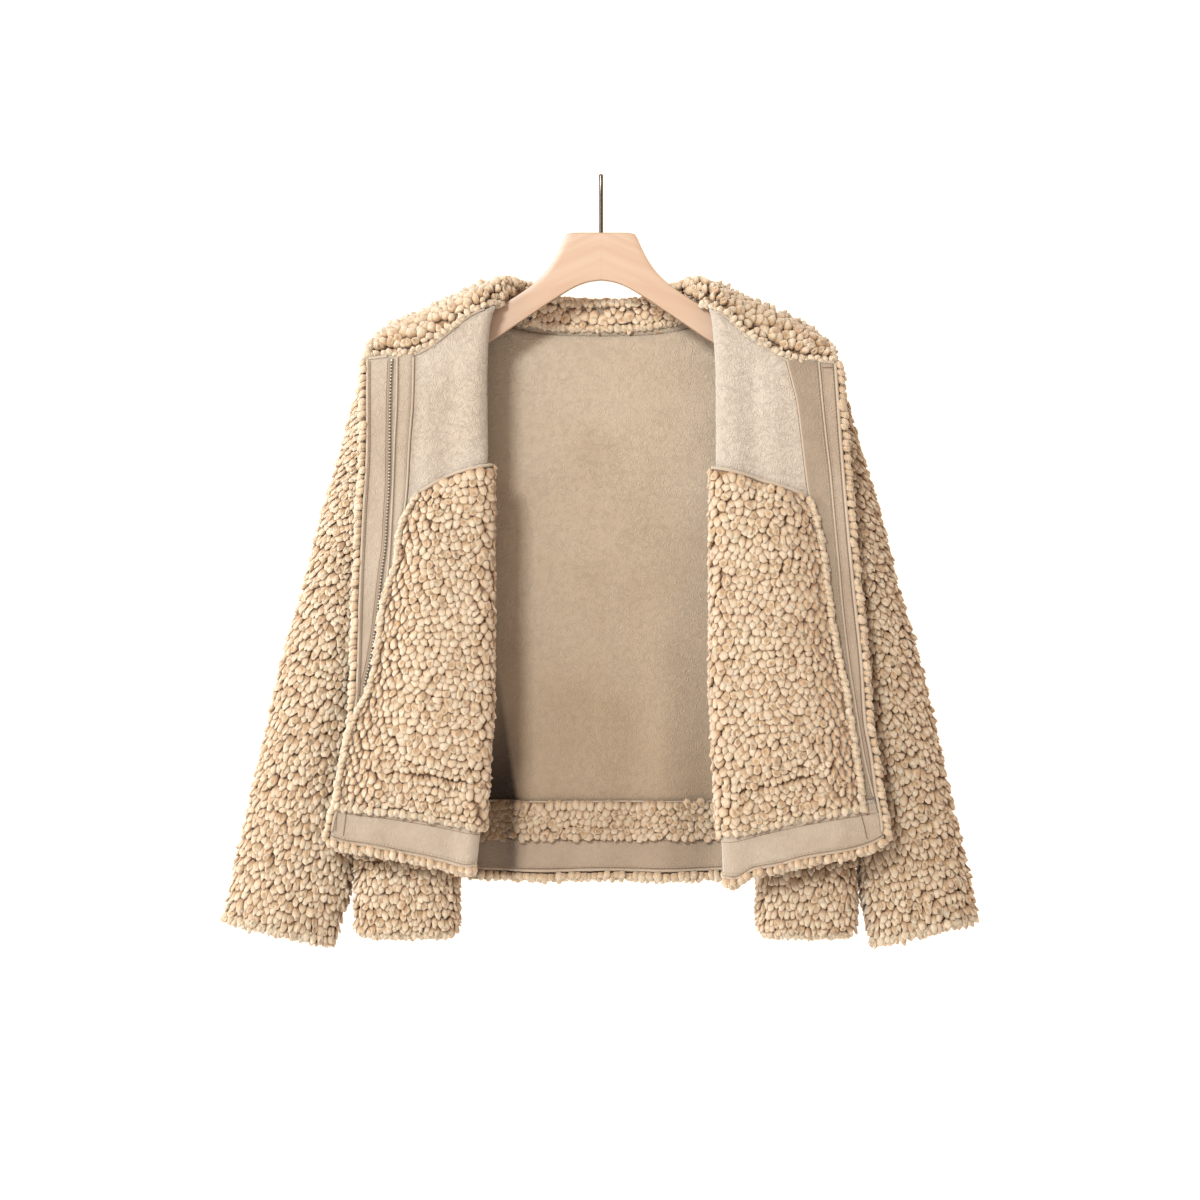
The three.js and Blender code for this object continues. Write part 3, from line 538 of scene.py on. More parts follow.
def edge_pile(line, outward, pile_side, rng, spacing=6.0, depth=2.4, angles=(-30, 15, 60, 105), core=1.4, scale=1.0):
    """Feet and directions of pile that rolls round a cut edge: line is the suede's edge."""
    line, outward, pile_side = (np.asarray(v, float) for v in (line, outward, pile_side))
    d = np.concatenate([[0], np.cumsum(np.linalg.norm(np.diff(line, axis=0), axis=-1))])
    outward, pile_side = np.broadcast_to(outward, line.shape), np.broadcast_to(pile_side, line.shape)
    P, Q = [], []
    for k, ang in enumerate(angles):
        n = max(int(d[-1] / spacing), 2)
        s = (np.arange(n) + .5 + (.5 if k % 2 else 0)) * d[-1] / n + rng.uniform(-.3, .3, n) * spacing
        s = np.clip(s, 0, d[-1])
        at = lambda A: np.stack([np.interp(s, d, A[:, q]) for q in range(3)], 1)
        L, O, B = at(line), at(outward), at(pile_side)
        an = np.radians(ang + rng.uniform(-14, 14, n))[:, None]
        dirn = O * np.cos(an) + B * np.sin(an)
        dirn /= np.linalg.norm(dirn, axis=1, keepdims=True)
        P.append(L + B * depth + dirn * core - O * 1.0)
        Q.append(dirn)
    P, Q = np.concatenate(P), np.concatenate(Q)
    return P, Q, np.full(len(P), scale)


def rod_along(path, radius, sides=8):
    """Vertices and faces of a closed round cord along a path."""
    path = np.asarray(path, float)
    T = np.gradient(path, axis=0)
    T /= np.linalg.norm(T, axis=1, keepdims=True)
    up = np.array([0, -1.0, 0])
    A = np.cross(T, up)
    A /= np.maximum(np.linalg.norm(A, axis=1, keepdims=True), 1e-6)
    B = np.cross(T, A)
    th = np.linspace(0, 2 * math.pi, sides, endpoint=False)
    rad = np.broadcast_to(np.asarray(radius, float), (len(path),))
    R = path[:, None] + (A[:, None] * np.cos(th)[None, :, None] + B[:, None] * np.sin(th)[None, :, None]) * rad[:, None, None]
    verts = np.concatenate([R.reshape(-1, 3), path[:1], path[-1:]])
    n = len(path)
    idx = np.arange(n * sides).reshape(n, sides)
    nxt = np.roll(idx, -1, 1)
    quads = np.stack([idx[:-1].ravel(), nxt[:-1].ravel(), nxt[1:].ravel(), idx[1:].ravel()], 1)
    c0, c1 = n * sides, n * sides + 1
    tris = np.concatenate([np.stack([nxt[0], idx[0], np.full(sides, c0)], 1), np.stack([idx[-1], nxt[-1], np.full(sides, c1)], 1)])
    return verts, quads, tris


def joined(name, parts):
    verts, quads, tris, base = [], [], [], 0
    for v, q, t in parts:
        verts.append(v)
        quads.append(q + base)
        tris.append(t + base)
        base += len(v)
    return mesh(name, np.concatenate(verts), [np.concatenate(quads), np.concatenate(tris)])


def along(path, pitch, start=.5):
    d = np.concatenate([[0], np.cumsum(np.linalg.norm(np.diff(path, axis=0), axis=-1))])
    s = np.arange(pitch * start, d[-1] - pitch * .3, pitch)
    at = np.stack([np.interp(s, d, path[:, q]) for q in range(3)], 1)
    ahead = np.stack([np.interp(np.clip(s + .5, 0, d[-1]), d, path[:, q]) for q in range(3)], 1)
    behind = np.stack([np.interp(np.clip(s - .5, 0, d[-1]), d, path[:, q]) for q in range(3)], 1)
    t = ahead - behind
    return at, t / np.maximum(np.linalg.norm(t, axis=1, keepdims=True), 1e-6)


def stitched(paths, pitch=3.6, length=2.5, width=.75, up=(0, -1, 0)):
    """Small thread dashes along paths."""
    parts = []
    up = np.asarray(up, float)
    for path in paths:
        at, t = along(np.asarray(path, float), pitch)
        for p, d in zip(at, t):
            q = np.array([p - d * length / 2 - up * .25, p - d * length / 4 + up * .16, p + d * length / 4 + up * .16, p + d * length / 2 - up * .25])
            parts.append(rod_along(q, [width * .35, width / 2, width / 2, width * .35], 4))
    return parts


# ---------- materials ----------
def lin(r, g, b):
    f = lambda c: c / 12.92 if c <= .04045 else ((c + .055) / 1.055) ** 2.4
    return (f(r / 255), f(g / 255), f(b / 255), 1.0)


def lit(r, g, b, share=.285):
    """A surface colour from the colour it shows when lit by the sky and the lamp together."""
    c = lin(r, g, b)
    return (c[0] * share, c[1] * share, c[2] * share, 1.0)


class Look:
    """A node material with short names for the nodes it needs. Coordinates are the object's own, in metres."""

    def __init__(self, name, rough=.9, **sockets):
        self.m = bpy.data.materials.new(name)
        self.m.use_nodes = True
        self.t = self.m.node_tree
        self.bsdf = self.t.nodes["Principled BSDF"]
        self.place = self.node("ShaderNodeTexCoord").outputs["Object"]
        self.bsdf.inputs["Roughness"].default_value = rough
        for k, v in sockets.items():
            self.bsdf.inputs[k.replace("_", " ")].default_value = v

    def node(self, kind, inputs=None, **props):
        n = self.t.nodes.new(kind)
        for k, v in props.items():
            setattr(n, k, v)
        for k, v in (inputs or {}).items():
            if isinstance(v, bpy.types.NodeSocket):
                self.t.links.new(v, n.inputs[k])
            else:
                n.inputs[k].default_value = v
        return n

    def math(self, op, a, b=0.0, c=0.0, clamp=False):
        return self.node("ShaderNodeMath", {0: a, 1: b, 2: c}, operation=op, use_clamp=clamp).outputs[0]

    def noise(self, scale, detail=2.0, rough=.5, distortion=0.0, where=None):
        return self.node("ShaderNodeTexNoise", {"Vector": where or self.place, "Scale": scale, "Detail": detail, "Roughness": rough,
                                                "Distortion": distortion}).outputs[0]

    def cells(self, scale, feature="F1", where=None):
        return self.node("ShaderNodeTexVoronoi", {"Vector": where or self.place, "Scale": scale}, feature=feature).outputs["Distance"]

    def ramp(self, fac, *stops):
        n = self.node("ShaderNodeValToRGB", {"Fac": fac})
        e = n.color_ramp.elements
        while len(e) < len(stops):
            e.new(.5)
        for el, (at, c) in zip(e, stops):
            el.position, el.color = at, c
        return n.outputs["Color"]

    def mix(self, fac, a, b, blend="MIX"):
        n = self.node("ShaderNodeMix", data_type="RGBA", blend_type=blend)
        for k, v in ((0, fac), (6, a), (7, b)):
            if isinstance(v, bpy.types.NodeSocket):
                self.t.links.new(v, n.inputs[k])
            else:
                n.inputs[k].default_value = v
        return n.outputs[2]

    def shade(self, value):
        """A multiplier that turns browner as it turns darker."""
        return self.node("ShaderNodeCombineColor", {0: self.math("POWER", value, .75), 1: value, 2: self.math("POWER", value, 1.35)}).outputs[0]

    def painted_fold_shade(self, colour, strength, dark):
        """Painted shade: a darker colour mixed in by position over the shaded side of the deep fold at the left, low on
        the back.
        """
        xyz = self.node("ShaderNodeSeparateXYZ", {0: self.place})
        line = self.math("MINIMUM", self.math("ADD", self.math("MULTIPLY", self.math("ADD", xyz.outputs[2], .509), -.146), -.101), -.083)
        inside = self.math("MULTIPLY", self.math("SUBTRACT", line, xyz.outputs[0]), 190, clamp=True)
        down = self.math("MULTIPLY", self.math("SUBTRACT", -.46, xyz.outputs[2]), 6.5, clamp=True)
        return self.mix(self.math("MULTIPLY", self.math("MULTIPLY", inside, down), strength), colour, dark)

    def relief(self, height, strength, distance, under=None):
        inputs = {"Height": height, "Strength": strength, "Distance": distance}
        if under is not None:
            inputs["Normal"] = under
        return self.node("ShaderNodeBump", inputs).outputs[0]

    def wire(self, **links):
        for k, v in links.items():
            self.t.links.new(v, self.bsdf.inputs[k.replace("_", " ")])
        return self.m


def pile_look(name, deep, low, mid, tip, fold=0.0):
    k = Look(name, .96, Sheen_Weight=.25, Sheen_Roughness=.6, Sheen_Tint=(1, .93, .84, 1), Specular_IOR_Level=.1,
             Subsurface_Weight=.5, Subsurface_Radius=(1, .62, .38), Subsurface_Scale=.004)
    tone = k.node("ShaderNodeVertexColor", layer_name="tone")
    rgb = k.node("ShaderNodeSeparateColor", {0: tone.outputs["Color"]})
    streak = k.node("ShaderNodeMapping", {0: k.place, 3: (1, 1, .24)}).outputs[0]
    fibre = k.noise(760, 3, .6, .8, streak)
    patch = k.noise(15, 2)
    # painted shade: the tuft's height share from the tone attribute picks the colour, brown low in the crevices, cream
    # at the tips
    h = k.math("ADD", rgb.outputs[0], k.math("MULTIPLY", k.math("SUBTRACT", fibre, .5), .30), clamp=True)
    c = k.ramp(h, (.36, deep), (.62, low), (.84, mid), (1.0, tip))
    shade = k.math("ADD", k.math("MULTIPLY", rgb.outputs[1], .13), k.math("MULTIPLY", patch, .16))
    c = k.mix(1.0, c, k.shade(k.math("ADD", shade, .855)), "MULTIPLY")
    c = k.mix(k.math("MULTIPLY", rgb.outputs[2], .20), c, lit(216, 178, 134), "MIX")
    # painted shade: the shaded side of the deep fold, darkened by position
    if fold:
        c = k.painted_fold_shade(c, fold, (low[0] * .35, low[1] * .26, low[2] * .06, 1))
    curl = k.noise(330, 2, .5, 1.6)
    n = k.relief(k.math("ABSOLUTE", k.math("SUBTRACT", curl, .5)), .38, .0020)
    n = k.relief(fibre, .7, .0013, n)
    return k.wire(Base_Color=c, Normal=n, Roughness=k.math("ADD", k.math("MULTIPLY", fibre, .10), .88))


def suede_look(name, base, dark, light, swirl=1.0, scale=1.0, low=0.0, fold=0.0):
    k = Look(name, .93, Sheen_Weight=.30, Sheen_Roughness=.5, Sheen_Tint=(1, .95, .88, 1), Specular_IOR_Level=.15)
    field = k.noise(120 * scale, 1.0, .5, .9)
    worm = k.math("SINE", k.math("MULTIPLY", field, 52.0))
    broken = k.noise(260 * scale, 1, .5)
    cut_up = k.math("MULTIPLY", k.math("SUBTRACT", broken, .30), 3.2, clamp=True)
    patchy = k.math("ADD", k.math("MULTIPLY", k.noise(14, 2), .6), .42, clamp=True)
    worm = k.math("MULTIPLY", k.math("MULTIPLY", worm, cut_up), patchy)
    nap = k.noise(1500, 2, .6)
    brushed = k.noise(9, 3, .55, .4)
    c = k.ramp(brushed, (.28, dark), (.5, base), (.74, light))
    c = k.mix(1.0, c, k.shade(k.math("ADD", k.math("MULTIPLY", worm, .045 * swirl), k.math("ADD", k.math("MULTIPLY", nap, .10), .925))), "MULTIPLY")
    # painted shade: the colour darkens towards the bottom, from z -0.30 m down, standing in for the lower back lying in
    # shade
    if low:
        level_ = k.node("ShaderNodeSeparateXYZ", {0: k.place}).outputs[2]
        fade = k.math("MULTIPLY", k.math("SUBTRACT", -.30, level_), 2.4, clamp=True)
        c = k.mix(k.math("MULTIPLY", fade, low), c, (dark[0] * .62, dark[1] * .52, dark[2] * .42, 1))
    # painted shade: the shaded side of the deep fold, darkened by position
    if fold:
        c = k.painted_fold_shade(c, fold, (dark[0] * .06, dark[1] * .035, dark[2] * .02, 1))
    n = k.relief(worm, .62 * swirl, .0010)
    n = k.relief(nap, .35, .0004, n)
    n = k.relief(k.noise(30, 2), .35, .003, n)
    return k.wire(Base_Color=c, Normal=n, Roughness=k.math("ADD", k.math("MULTIPLY", nap, .12), .84))


def wood_look():
    k = Look("wood_maple", .42, Coat_Weight=.12, Coat_Roughness=.3, Specular_IOR_Level=.4)
    xyz = k.node("ShaderNodeSeparateXYZ", {0: k.place})
    ax = k.math("ABSOLUTE", xyz.outputs[0])
    level = k.math("ADD", xyz.outputs[2], k.math("MULTIPLY", ax, .42))
    along = k.node("ShaderNodeCombineXYZ", {0: k.math("MULTIPLY", ax, .10), 1: k.math("MULTIPLY", xyz.outputs[1], .5), 2: level}).outputs[0]
    rings = k.noise(85, 3, .55, .5, along)
    pores = k.noise(900, 2, .6, 0, k.node("ShaderNodeCombineXYZ", {0: k.math("MULTIPLY", ax, .05), 1: xyz.outputs[1], 2: level}).outputs[0])
    c = k.ramp(rings, (.30, lit(218, 175, 139)), (.5, lit(225, 185, 150)), (.72, lit(229, 192, 159)))
    c = k.mix(k.math("MULTIPLY", pores, .14), c, lit(211, 156, 116))
    glue = k.math("LESS_THAN", ax, .00035)
    c = k.mix(k.math("MULTIPLY", glue, .25), c, lit(205, 155, 115))
    n = k.relief(pores, .12, .0004)
    n = k.relief(rings, .10, .0008, n)
    return k.wire(Base_Color=c, Normal=n, Roughness=k.math("ADD", k.math("MULTIPLY", pores, .18), .34))


def metal_look(name, colour, rough):
    k = Look(name, rough, Metallic=1.0)
    s = k.noise(700, 3, .6)
    c = k.mix(k.math("MULTIPLY", s, .5), colour, (colour[0] * .72, colour[1] * .72, colour[2] * .72, 1))
    return k.wire(Base_Color=c, Normal=k.relief(s, .12, .0002), Roughness=k.math("ADD", k.math("MULTIPLY", s, .2), rough - .08))


def thread_look():
    k = Look("thread", .8, Sheen_Weight=.2, Specular_IOR_Level=.25)
    s = k.noise(1800, 2, .5)
    return k.wire(Base_Color=k.ramp(s, (.3, lit(196, 162, 126)), (.7, lit(230, 203, 170))), Normal=k.relief(s, .3, .0003))


PILE = pile_look("pile_cream", lit(172, 118, 70), lit(214, 168, 120), lit(241, 207, 167), lit(253, 229, 196))
# painted shade: a darker copy of the pile for the strip low inside the back, with painted shade on the deep fold's side
PILE_STRIP_SHADED = pile_look("pile_strip_painted_shade", lit(160, 108, 62), lit(200, 154, 107), lit(228, 192, 152), lit(242, 215, 181), fold=.6)
# painted light: a brighter, warmer copy of the pile for the collar, lifting it where it sits in the hanger's shade
PILE_COLLAR_LIT = pile_look("pile_collar_painted_light", lit(190, 128, 76), lit(238, 182, 129), lit(268, 225, 179), lit(281, 248, 210))
# painted shade: a brown for the cloth under the tufts, which shows only down between them, standing in for the shade
# there
BACKING_SHADED = pile_look("pile_root_painted_shade", lit(196, 148, 100), lit(202, 154, 106), lit(210, 166, 118), lit(214, 172, 124))
SUEDE = suede_look("suede_flap", lit(227, 208, 186), lit(217, 196, 172), lit(234, 217, 196))
# painted shade: a darker, warmer copy of the flap suede for the back's inside, with more painted shade towards the
# bottom and on the deep fold's side
SUEDE_BACK_SHADED = suede_look("suede_back_painted_shade", lit(221, 195, 165), lit(209, 182, 151), lit(227, 203, 174), .80, low=.72, fold=.97)
FACING = suede_look("suede_facing", lit(210, 188, 163), lit(199, 176, 150), lit(219, 199, 175), .7)
# painted shade: a darker copy of the facing for the right front's inner strip
FACING_SHADED = suede_look("suede_facing_shaded", lit(184, 160, 134), lit(174, 149, 123), lit(194, 171, 146), .7)
# painted shade: a darker copy of the facing for the right front's outer strip
FACING_OUTER_SHADED = suede_look("suede_facing_outer_shaded", lit(200, 175, 149), lit(190, 164, 138), lit(210, 187, 162), .7)
# painted shade: a darker copy of the facing for the band along the back's hem, with painted shade on the deep fold's
# side
HEM_BACK_SHADED = suede_look("suede_hem_back_painted_shade", lit(194, 168, 141), lit(184, 157, 130), lit(204, 180, 154), .7, fold=.38)
EDGE = suede_look("suede_edge", lit(217, 192, 164), lit(207, 181, 152), lit(226, 203, 176), .2)
# painted shadow for the thin dark cords in seams and grooves
SEAM_SHADOW = suede_look("seam_shadow", lit(146, 110, 78), lit(128, 94, 64), lit(160, 124, 90), .1)
WOOD = wood_look()
STEEL = metal_look("zip_metal", (.36, .32, .27, 1), .42)
# painted shadow for the gaps between the zip teeth
ZIP_GAP_SHADOW = suede_look("zip_gap_shadow", lit(104, 82, 60), lit(88, 68, 50), lit(118, 94, 70), .1)
ROD = metal_look("rod_metal", (.060, .050, .043, 1), .24)
TAPE = suede_look("zip_tape", lit(176, 152, 128), lit(160, 136, 112), lit(188, 164, 140), .1)
THREAD = thread_look()


def keep(ob, look, slot, *nodes):
    ob.data.materials.clear()
    ob.data.materials.append(look)
    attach(ob, "root")
    if nodes:
        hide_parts(*nodes)
    return ob


# ---------- camera, floor and light ----------
cam = bpy.data.objects.new("camera", bpy.data.cameras.new("camera"))
bpy.context.scene.collection.objects.link(cam)
CAMERA_AWAY = 4.0
cam.location = (-.001, -CAMERA_AWAY, -.429)
cam.rotation_euler = (math.pi / 2, 0, 0)
cam.data.sensor_width = 36
cam.data.lens = 36 * (CAMERA_AWAY - .03) / 1.2
cam.data.clip_end = 200
bpy.context.scene.camera = cam

world = bpy.data.worlds.new("studio")
world.use_nodes = True
world.node_tree.nodes["Background"].inputs[0].default_value = (1.42, 1.17, 1.0, 1)
world.node_tree.nodes["Background"].inputs[1].default_value = 1.02
bpy.context.scene.world = world
bpy.context.scene.view_settings.view_transform = "Standard"
bpy.context.scene.view_settings.look = "None"


def lamp(name, at, to, size, power, colour=(1, 1, 1)):
    data = bpy.data.lights.new(name, "AREA")
    data.shape, data.size, data.size_y, data.energy, data.color = "RECTANGLE", size[0], size[1], power, colour
    ob = bpy.data.objects.new(name, data)
    ob.location = at
    ob.rotation_mode = "QUATERNION"
    ob.rotation_quaternion = (Vector(to) - Vector(at)).to_track_quat("-Z", "Y")
    bpy.context.scene.collection.objects.link(ob)


lamp("key", (-1.45, -3.2, 1.35), (0, 0, -.4), (.75, .75), 325, (.85, .94, 1))
lamp("side", (-3.3, -1.3, .5), (0, 0, -.4), (1.2, 1.6), 140, (.9, .95, 1))
floor = mesh("floor", [(-30000, -30000, 0), (30000, -30000, 0), (30000, 30000, 0), (-30000, 30000, 0)], np.array([[0, 1, 2, 3]]), False)
floor.location.z = -1.25
fl = Look("floor_pale", .8)
floor.data.materials.append(fl.wire(Base_Color=fl.ramp(fl.noise(3, 2), (.3, (.975, .975, .975, 1)), (.7, (.985, .985, .985, 1)))))

UP, FRONTWARD = np.array([0, 0, 1.0]), np.array([0, -1.0, 0])


def lifted(G, d, n, ring=False):
    return G + n * d


def closed_line(L):
    return np.concatenate([L, L[:1]])


# ---------- back ----------
B = back_grid()
nB = normals(B)
back_cloth = keep(shell("back_cloth", B + nB * CLOTH, B), SUEDE_BACK_SHADED, "suede", "back")
rng = np.random.default_rng(11)
hem_edge = edge_pile(B[-1], (0, 0, -1), nB[-1], rng, 7.4, angles=(-16, 16, 52, 90), depth=1.6, core=2.4, scale=1.35)
below_neck = lambda P: np.where((np.abs(P[:, 0]) < 98) & (P[:, 2] > COLLAR("bottom", np.abs(P[:, 0])) - 6.0), 0.0, 1.0)
back_pile = keep(pile_on("back_pile", B, 1, CLOTH, 11.4, 6.4, rng, extra=[hem_edge], scale=below_neck), PILE, "pile")

# ---------- fronts, folded back ----------
GROOVE = dict(l=([122, 127, 146, 170, 201, 206], [-611, -610, -606.5, -602, -599, -598.6]),
              r=([139, 144, 172, 190, 208, 223, 228], [-618, -617, -611, -606.5, -603, -596, -594]))
for hand in "lr":
    sign, out = (-1, -1) if hand == "l" else (1, 1)
    rng = np.random.default_rng(21 if hand == "l" else 22)
    F, cols = front_grid(hand)
    nF = normals(F) * out
    front = keep(shell("front_cloth_" + hand, F, F + nF * CLOTH), SUEDE, "suede", "front_" + hand)
    kinds = np.array([p for p, _ in cols])
    flap = np.where(kinds == "flap")[0]
    folds = np.where((kinds == "flap") | ((kinds == "fold") & (np.array([t for _, t in cols]) > 10)))[0]
    unders = np.where((kinds == "turn") | (kinds == "under"))[0]
    fringe = [edge_pile(F[:, -1], (sign, 0, 0), (0, 1, 0), rng, 7.6, angles=(-18, 16, 58, 100), core=2.6, scale=1.35),
              edge_pile(F[-1, folds], (0, 0, -1), nF[-1, folds], rng, 7.4, angles=(-16, 16, 52), depth=1.6, core=2.4, scale=1.5),
              edge_pile(F[-1, unders], (0, 0, -1), nF[-1, unders], rng, 6.4, angles=(-20, 40, 90))]
    wide = lambda P, s=sign: np.where((np.abs(P[:, 0]) > 185) | (P[:, 2] < -600), 1.0, 0.0)
    fpile = keep(pile_on("front_pile_" + hand, F, out, CLOTH, 10.2, 5.6, rng, extra=fringe, scale=wide), PILE, "pile")
    # facings and hem band
    toward = -nF
    if hand == "l":
        strips = [("facing_l", lambda z: FACING_L("inner", z), lambda z: FRONT_EDGE("l", z) - EDGE_PILE, -529)]
    else:
        strips = [("facing_r_inner", lambda z: FACING_R("inner", z), lambda z: FACING_R("seam", z), -627),
                  ("facing_r_outer", lambda z: FACING_R("seam", z) + .3, lambda z: FRONT_EDGE("r", z) - EDGE_PILE, -627)]
    for name, inner, outer, bottom in strips:
        S = strip_grid(hand, inner, outer, -180, bottom)
        nS = normals(S) * -out
        f = keep(shell(name.replace("facing", "facing_cloth"), S + nS * 2.3, S + nS * .3), dict(facing_r_inner=FACING_SHADED, facing_r_outer=FACING_OUTER_SHADED).get(name, FACING), "facing", name)
    Hm = hem_grid(hand)
    nH = normals(Hm) * -out
    band = keep(shell("hem_band_" + hand, Hm + nH * 2.3, Hm + nH * .3), FACING, "facing", "hem_" + hand)
    # pocket
    Pk = pocket_grid(hand)
    nP = normals(Pk) * -out
    r, c = Pk.shape[:2]
    share = np.linspace(0, 1, c)[None]
    swell = np.sin(np.clip(share * 1.9, 0, 1) * math.pi / 2) * (1 - np.clip((share - .45) / .55, 0, 1) ** 2.2)
    swell = 5.5 * swell * soft(np.linspace(0, 1, r) / .10)[:, None] * (1 - .7 * soft((np.linspace(0, 1, r) - .9) / .1))[:, None]
    Pk = Pk + nP * swell[..., None]
    nP = normals(Pk) * -out
    turned = np.clip((share - .66) / .34, 0, 1) ** 1.3 * 1.15 + 0 * swell
    turned = turned[..., None] * np.array([sign, 0, -.35])
    groove = GROOVE[hand]
    pressed = lambda P, g=groove: np.where((np.abs(P[:, 2] - np.interp(np.abs(P[:, 0]), g[0], g[1])) < 4.2) & (np.abs(P[:, 0]) > g[0][0]) & (np.abs(P[:, 0]) < g[0][-1]), 0.0, 1.0)
    face, lean_to = Pk.reshape(-1, 3), nP.reshape(-1, 3)
    banks = []
    for off in (-4.5, 4.5):
        for x in np.arange(groove[0][0] + 3, groove[0][-1], 6.0):
            z = np.interp(x, groove[0], groove[1]) + off
            k = np.argmin((np.abs(face[:, 0]) - x) ** 2 + (face[:, 2] - z) ** 2)
            banks.append((np.array([sign * (x + rng.uniform(-.8, .8)), face[k, 1], z]) + lean_to[k] * 2.3, lean_to[k] + [0, 0, .30 * np.sign(off)]))
    banks = (np.array([b[0] for b in banks]), np.array([b[1] / np.linalg.norm(b[1]) for b in banks]), np.full(len(banks), .88), 0.0)
    pocket = keep(shell("pocket_cloth_" + hand, Pk + nP * 2.4, Pk + nP * .3), BACKING_SHADED, "pile", "pocket_" + hand)
    side = edge_pile(Pk[:, -1] + nP[:, -1] * 1, (sign, 0, 0), nP[:, -1], rng, 5.6, depth=1.6, angles=(15, 45), core=.4, scale=1.1)
    foot = edge_pile(Pk[-1], (0, 0, -1), nP[-1], rng, 6.4, depth=1.6, angles=(12, 50), core=.4, scale=1.1)
    near = edge_pile(Pk[:, 0] + nP[:, 0] * 1, (0, 1, 0), nP[:, 0], rng, 6.0, depth=1.6, angles=(10, 45), core=.4, scale=.8)
    ppile = keep(pile_on("pocket_pile_" + hand, Pk, -out, 2.3, 7.7, 6.0, rng, extra=[side, foot, near, banks], margin_rows=2.0, aspect=1.22, bend=turned, scale=pressed, shingle=.34, lean=.5), PILE, "pile")

# ---------- strip and band across the back's hem, inside ----------
rng = np.random.default_rng(31)
Sb = back_band_grid(-635, -668)
nSb = -normals(Sb)
strip = keep(shell("back_strip_cloth", Sb + nSb * 2.8, Sb + nSb * .6), BACKING_SHADED, "pile", "back_strip")
strip_pile = keep(pile_on("back_strip_pile", Sb, -1, 2.7, 6.8, 5.6, rng), PILE_STRIP_SHADED, "pile")
Hb = back_band_grid(-668.5, -704)
nHb = -normals(Hb)
keep(shell("hem_band_back", Hb + nHb * 2.6, Hb + nHb * .6), HEM_BACK_SHADED, "facing", "hem_back")

# ---------- shoulders and collar ----------
for hand in "lr":
    out = 1 if hand == "l" else -1
    sign = -1 if hand == "l" else 1
    rng = np.random.default_rng(41 if hand == "l" else 42)
    Y = yoke_grid(hand)
    nY = normals(Y) * out
    root = Y - nY * 6.4
    yoke = keep(shell("yoke_cloth_" + hand, root, Y - nY * 8.2), BACKING_SHADED, "pile", "yoke_" + hand)
    neck = edge_pile(root[0, 14:], (-sign, 0, 0), nY[0, 14:], rng, 7.6, depth=.5, angles=(45, 70), core=.2, scale=.7)
    front_foot = edge_pile(root[:, 0], (0, 0, -1), nY[:, 0], rng, 7.2, depth=.8, angles=(20, 60), core=.4)
    back_foot = edge_pile(root[:, -1], (0, 0, -1), nY[:, -1], rng, 8.0, depth=.8, angles=(20, 60), core=.4)
    end = edge_pile(root[-1], (sign, 0, 0), nY[-1], rng, 7.6, depth=.5, angles=(10, 50), core=.6)
    ridge = edge_pile(root[3:, 20], (0, 0, 1), (0, -1, 0), rng, 8.6, depth=0, angles=(-28, 8, 42), core=.6, scale=1.42)
    tuck = np.array([(sign * x, y, z) for x, y, z in ((104, -13, -112), (98, -11, -109), (105, -15, -119), (99, -10, -116), (93, -4, -111), (101, -13, -125),
                                                      (94, -6, -118), (88, 2, -112), (97, -9, -123), (90, 0, -119))], float)
    tuck = (tuck, np.broadcast_to([sign * -.25, -.9, .35], tuck.shape), np.full(len(tuck), .95), 0.0)
    ypile = keep(pile_on("yoke_pile_" + hand, Y, out, -6.4, 9.6, 7.2, rng, extra=[neck, front_foot, back_foot, end, tuck, ridge], nap=(sign * .5, 0, .85), aspect=.66), PILE, "pile")
rng = np.random.default_rng(43)
C = collar_grid()
nC = -normals(C)                   # toward the neck opening
root = C - nC * 3.6
Cx, nCx = np.concatenate([C[:, :1] - [0, 0, 9.0], C], 1), np.concatenate([nC[:, :1], nC], 1)   # tucked behind the back's top edge
collar = keep(shell("collar_cloth", Cx - nCx * 3.6, Cx - nCx * 5.8), SUEDE_BACK_SHADED, "pile", "collar_back")
top_edge = edge_pile(root[:, -1], (0, 0, 1), nC[:, -1], rng, 6.0, depth=-.2, angles=(-50, -12, 24, 58), core=.8, scale=1.15)
back_side = pile_on("collar_pile_behind", Cx, 1, 5.6, 8.6, 5.6, rng)
keep(back_side, PILE, "pile")
low_edge = edge_pile(root[:, 2], (0, 0, -1), nC[:, 2], rng, 6.6, depth=.6, angles=(15, 50), core=.3, scale=.9)
cpile = keep(pile_on("collar_pile", C[:, 2:], -1, -3.6, 7.8, 6.4, rng, extra=[top_edge, low_edge], nap=(0, 0, -1), aspect=.72), PILE_COLLAR_LIT, "pile")

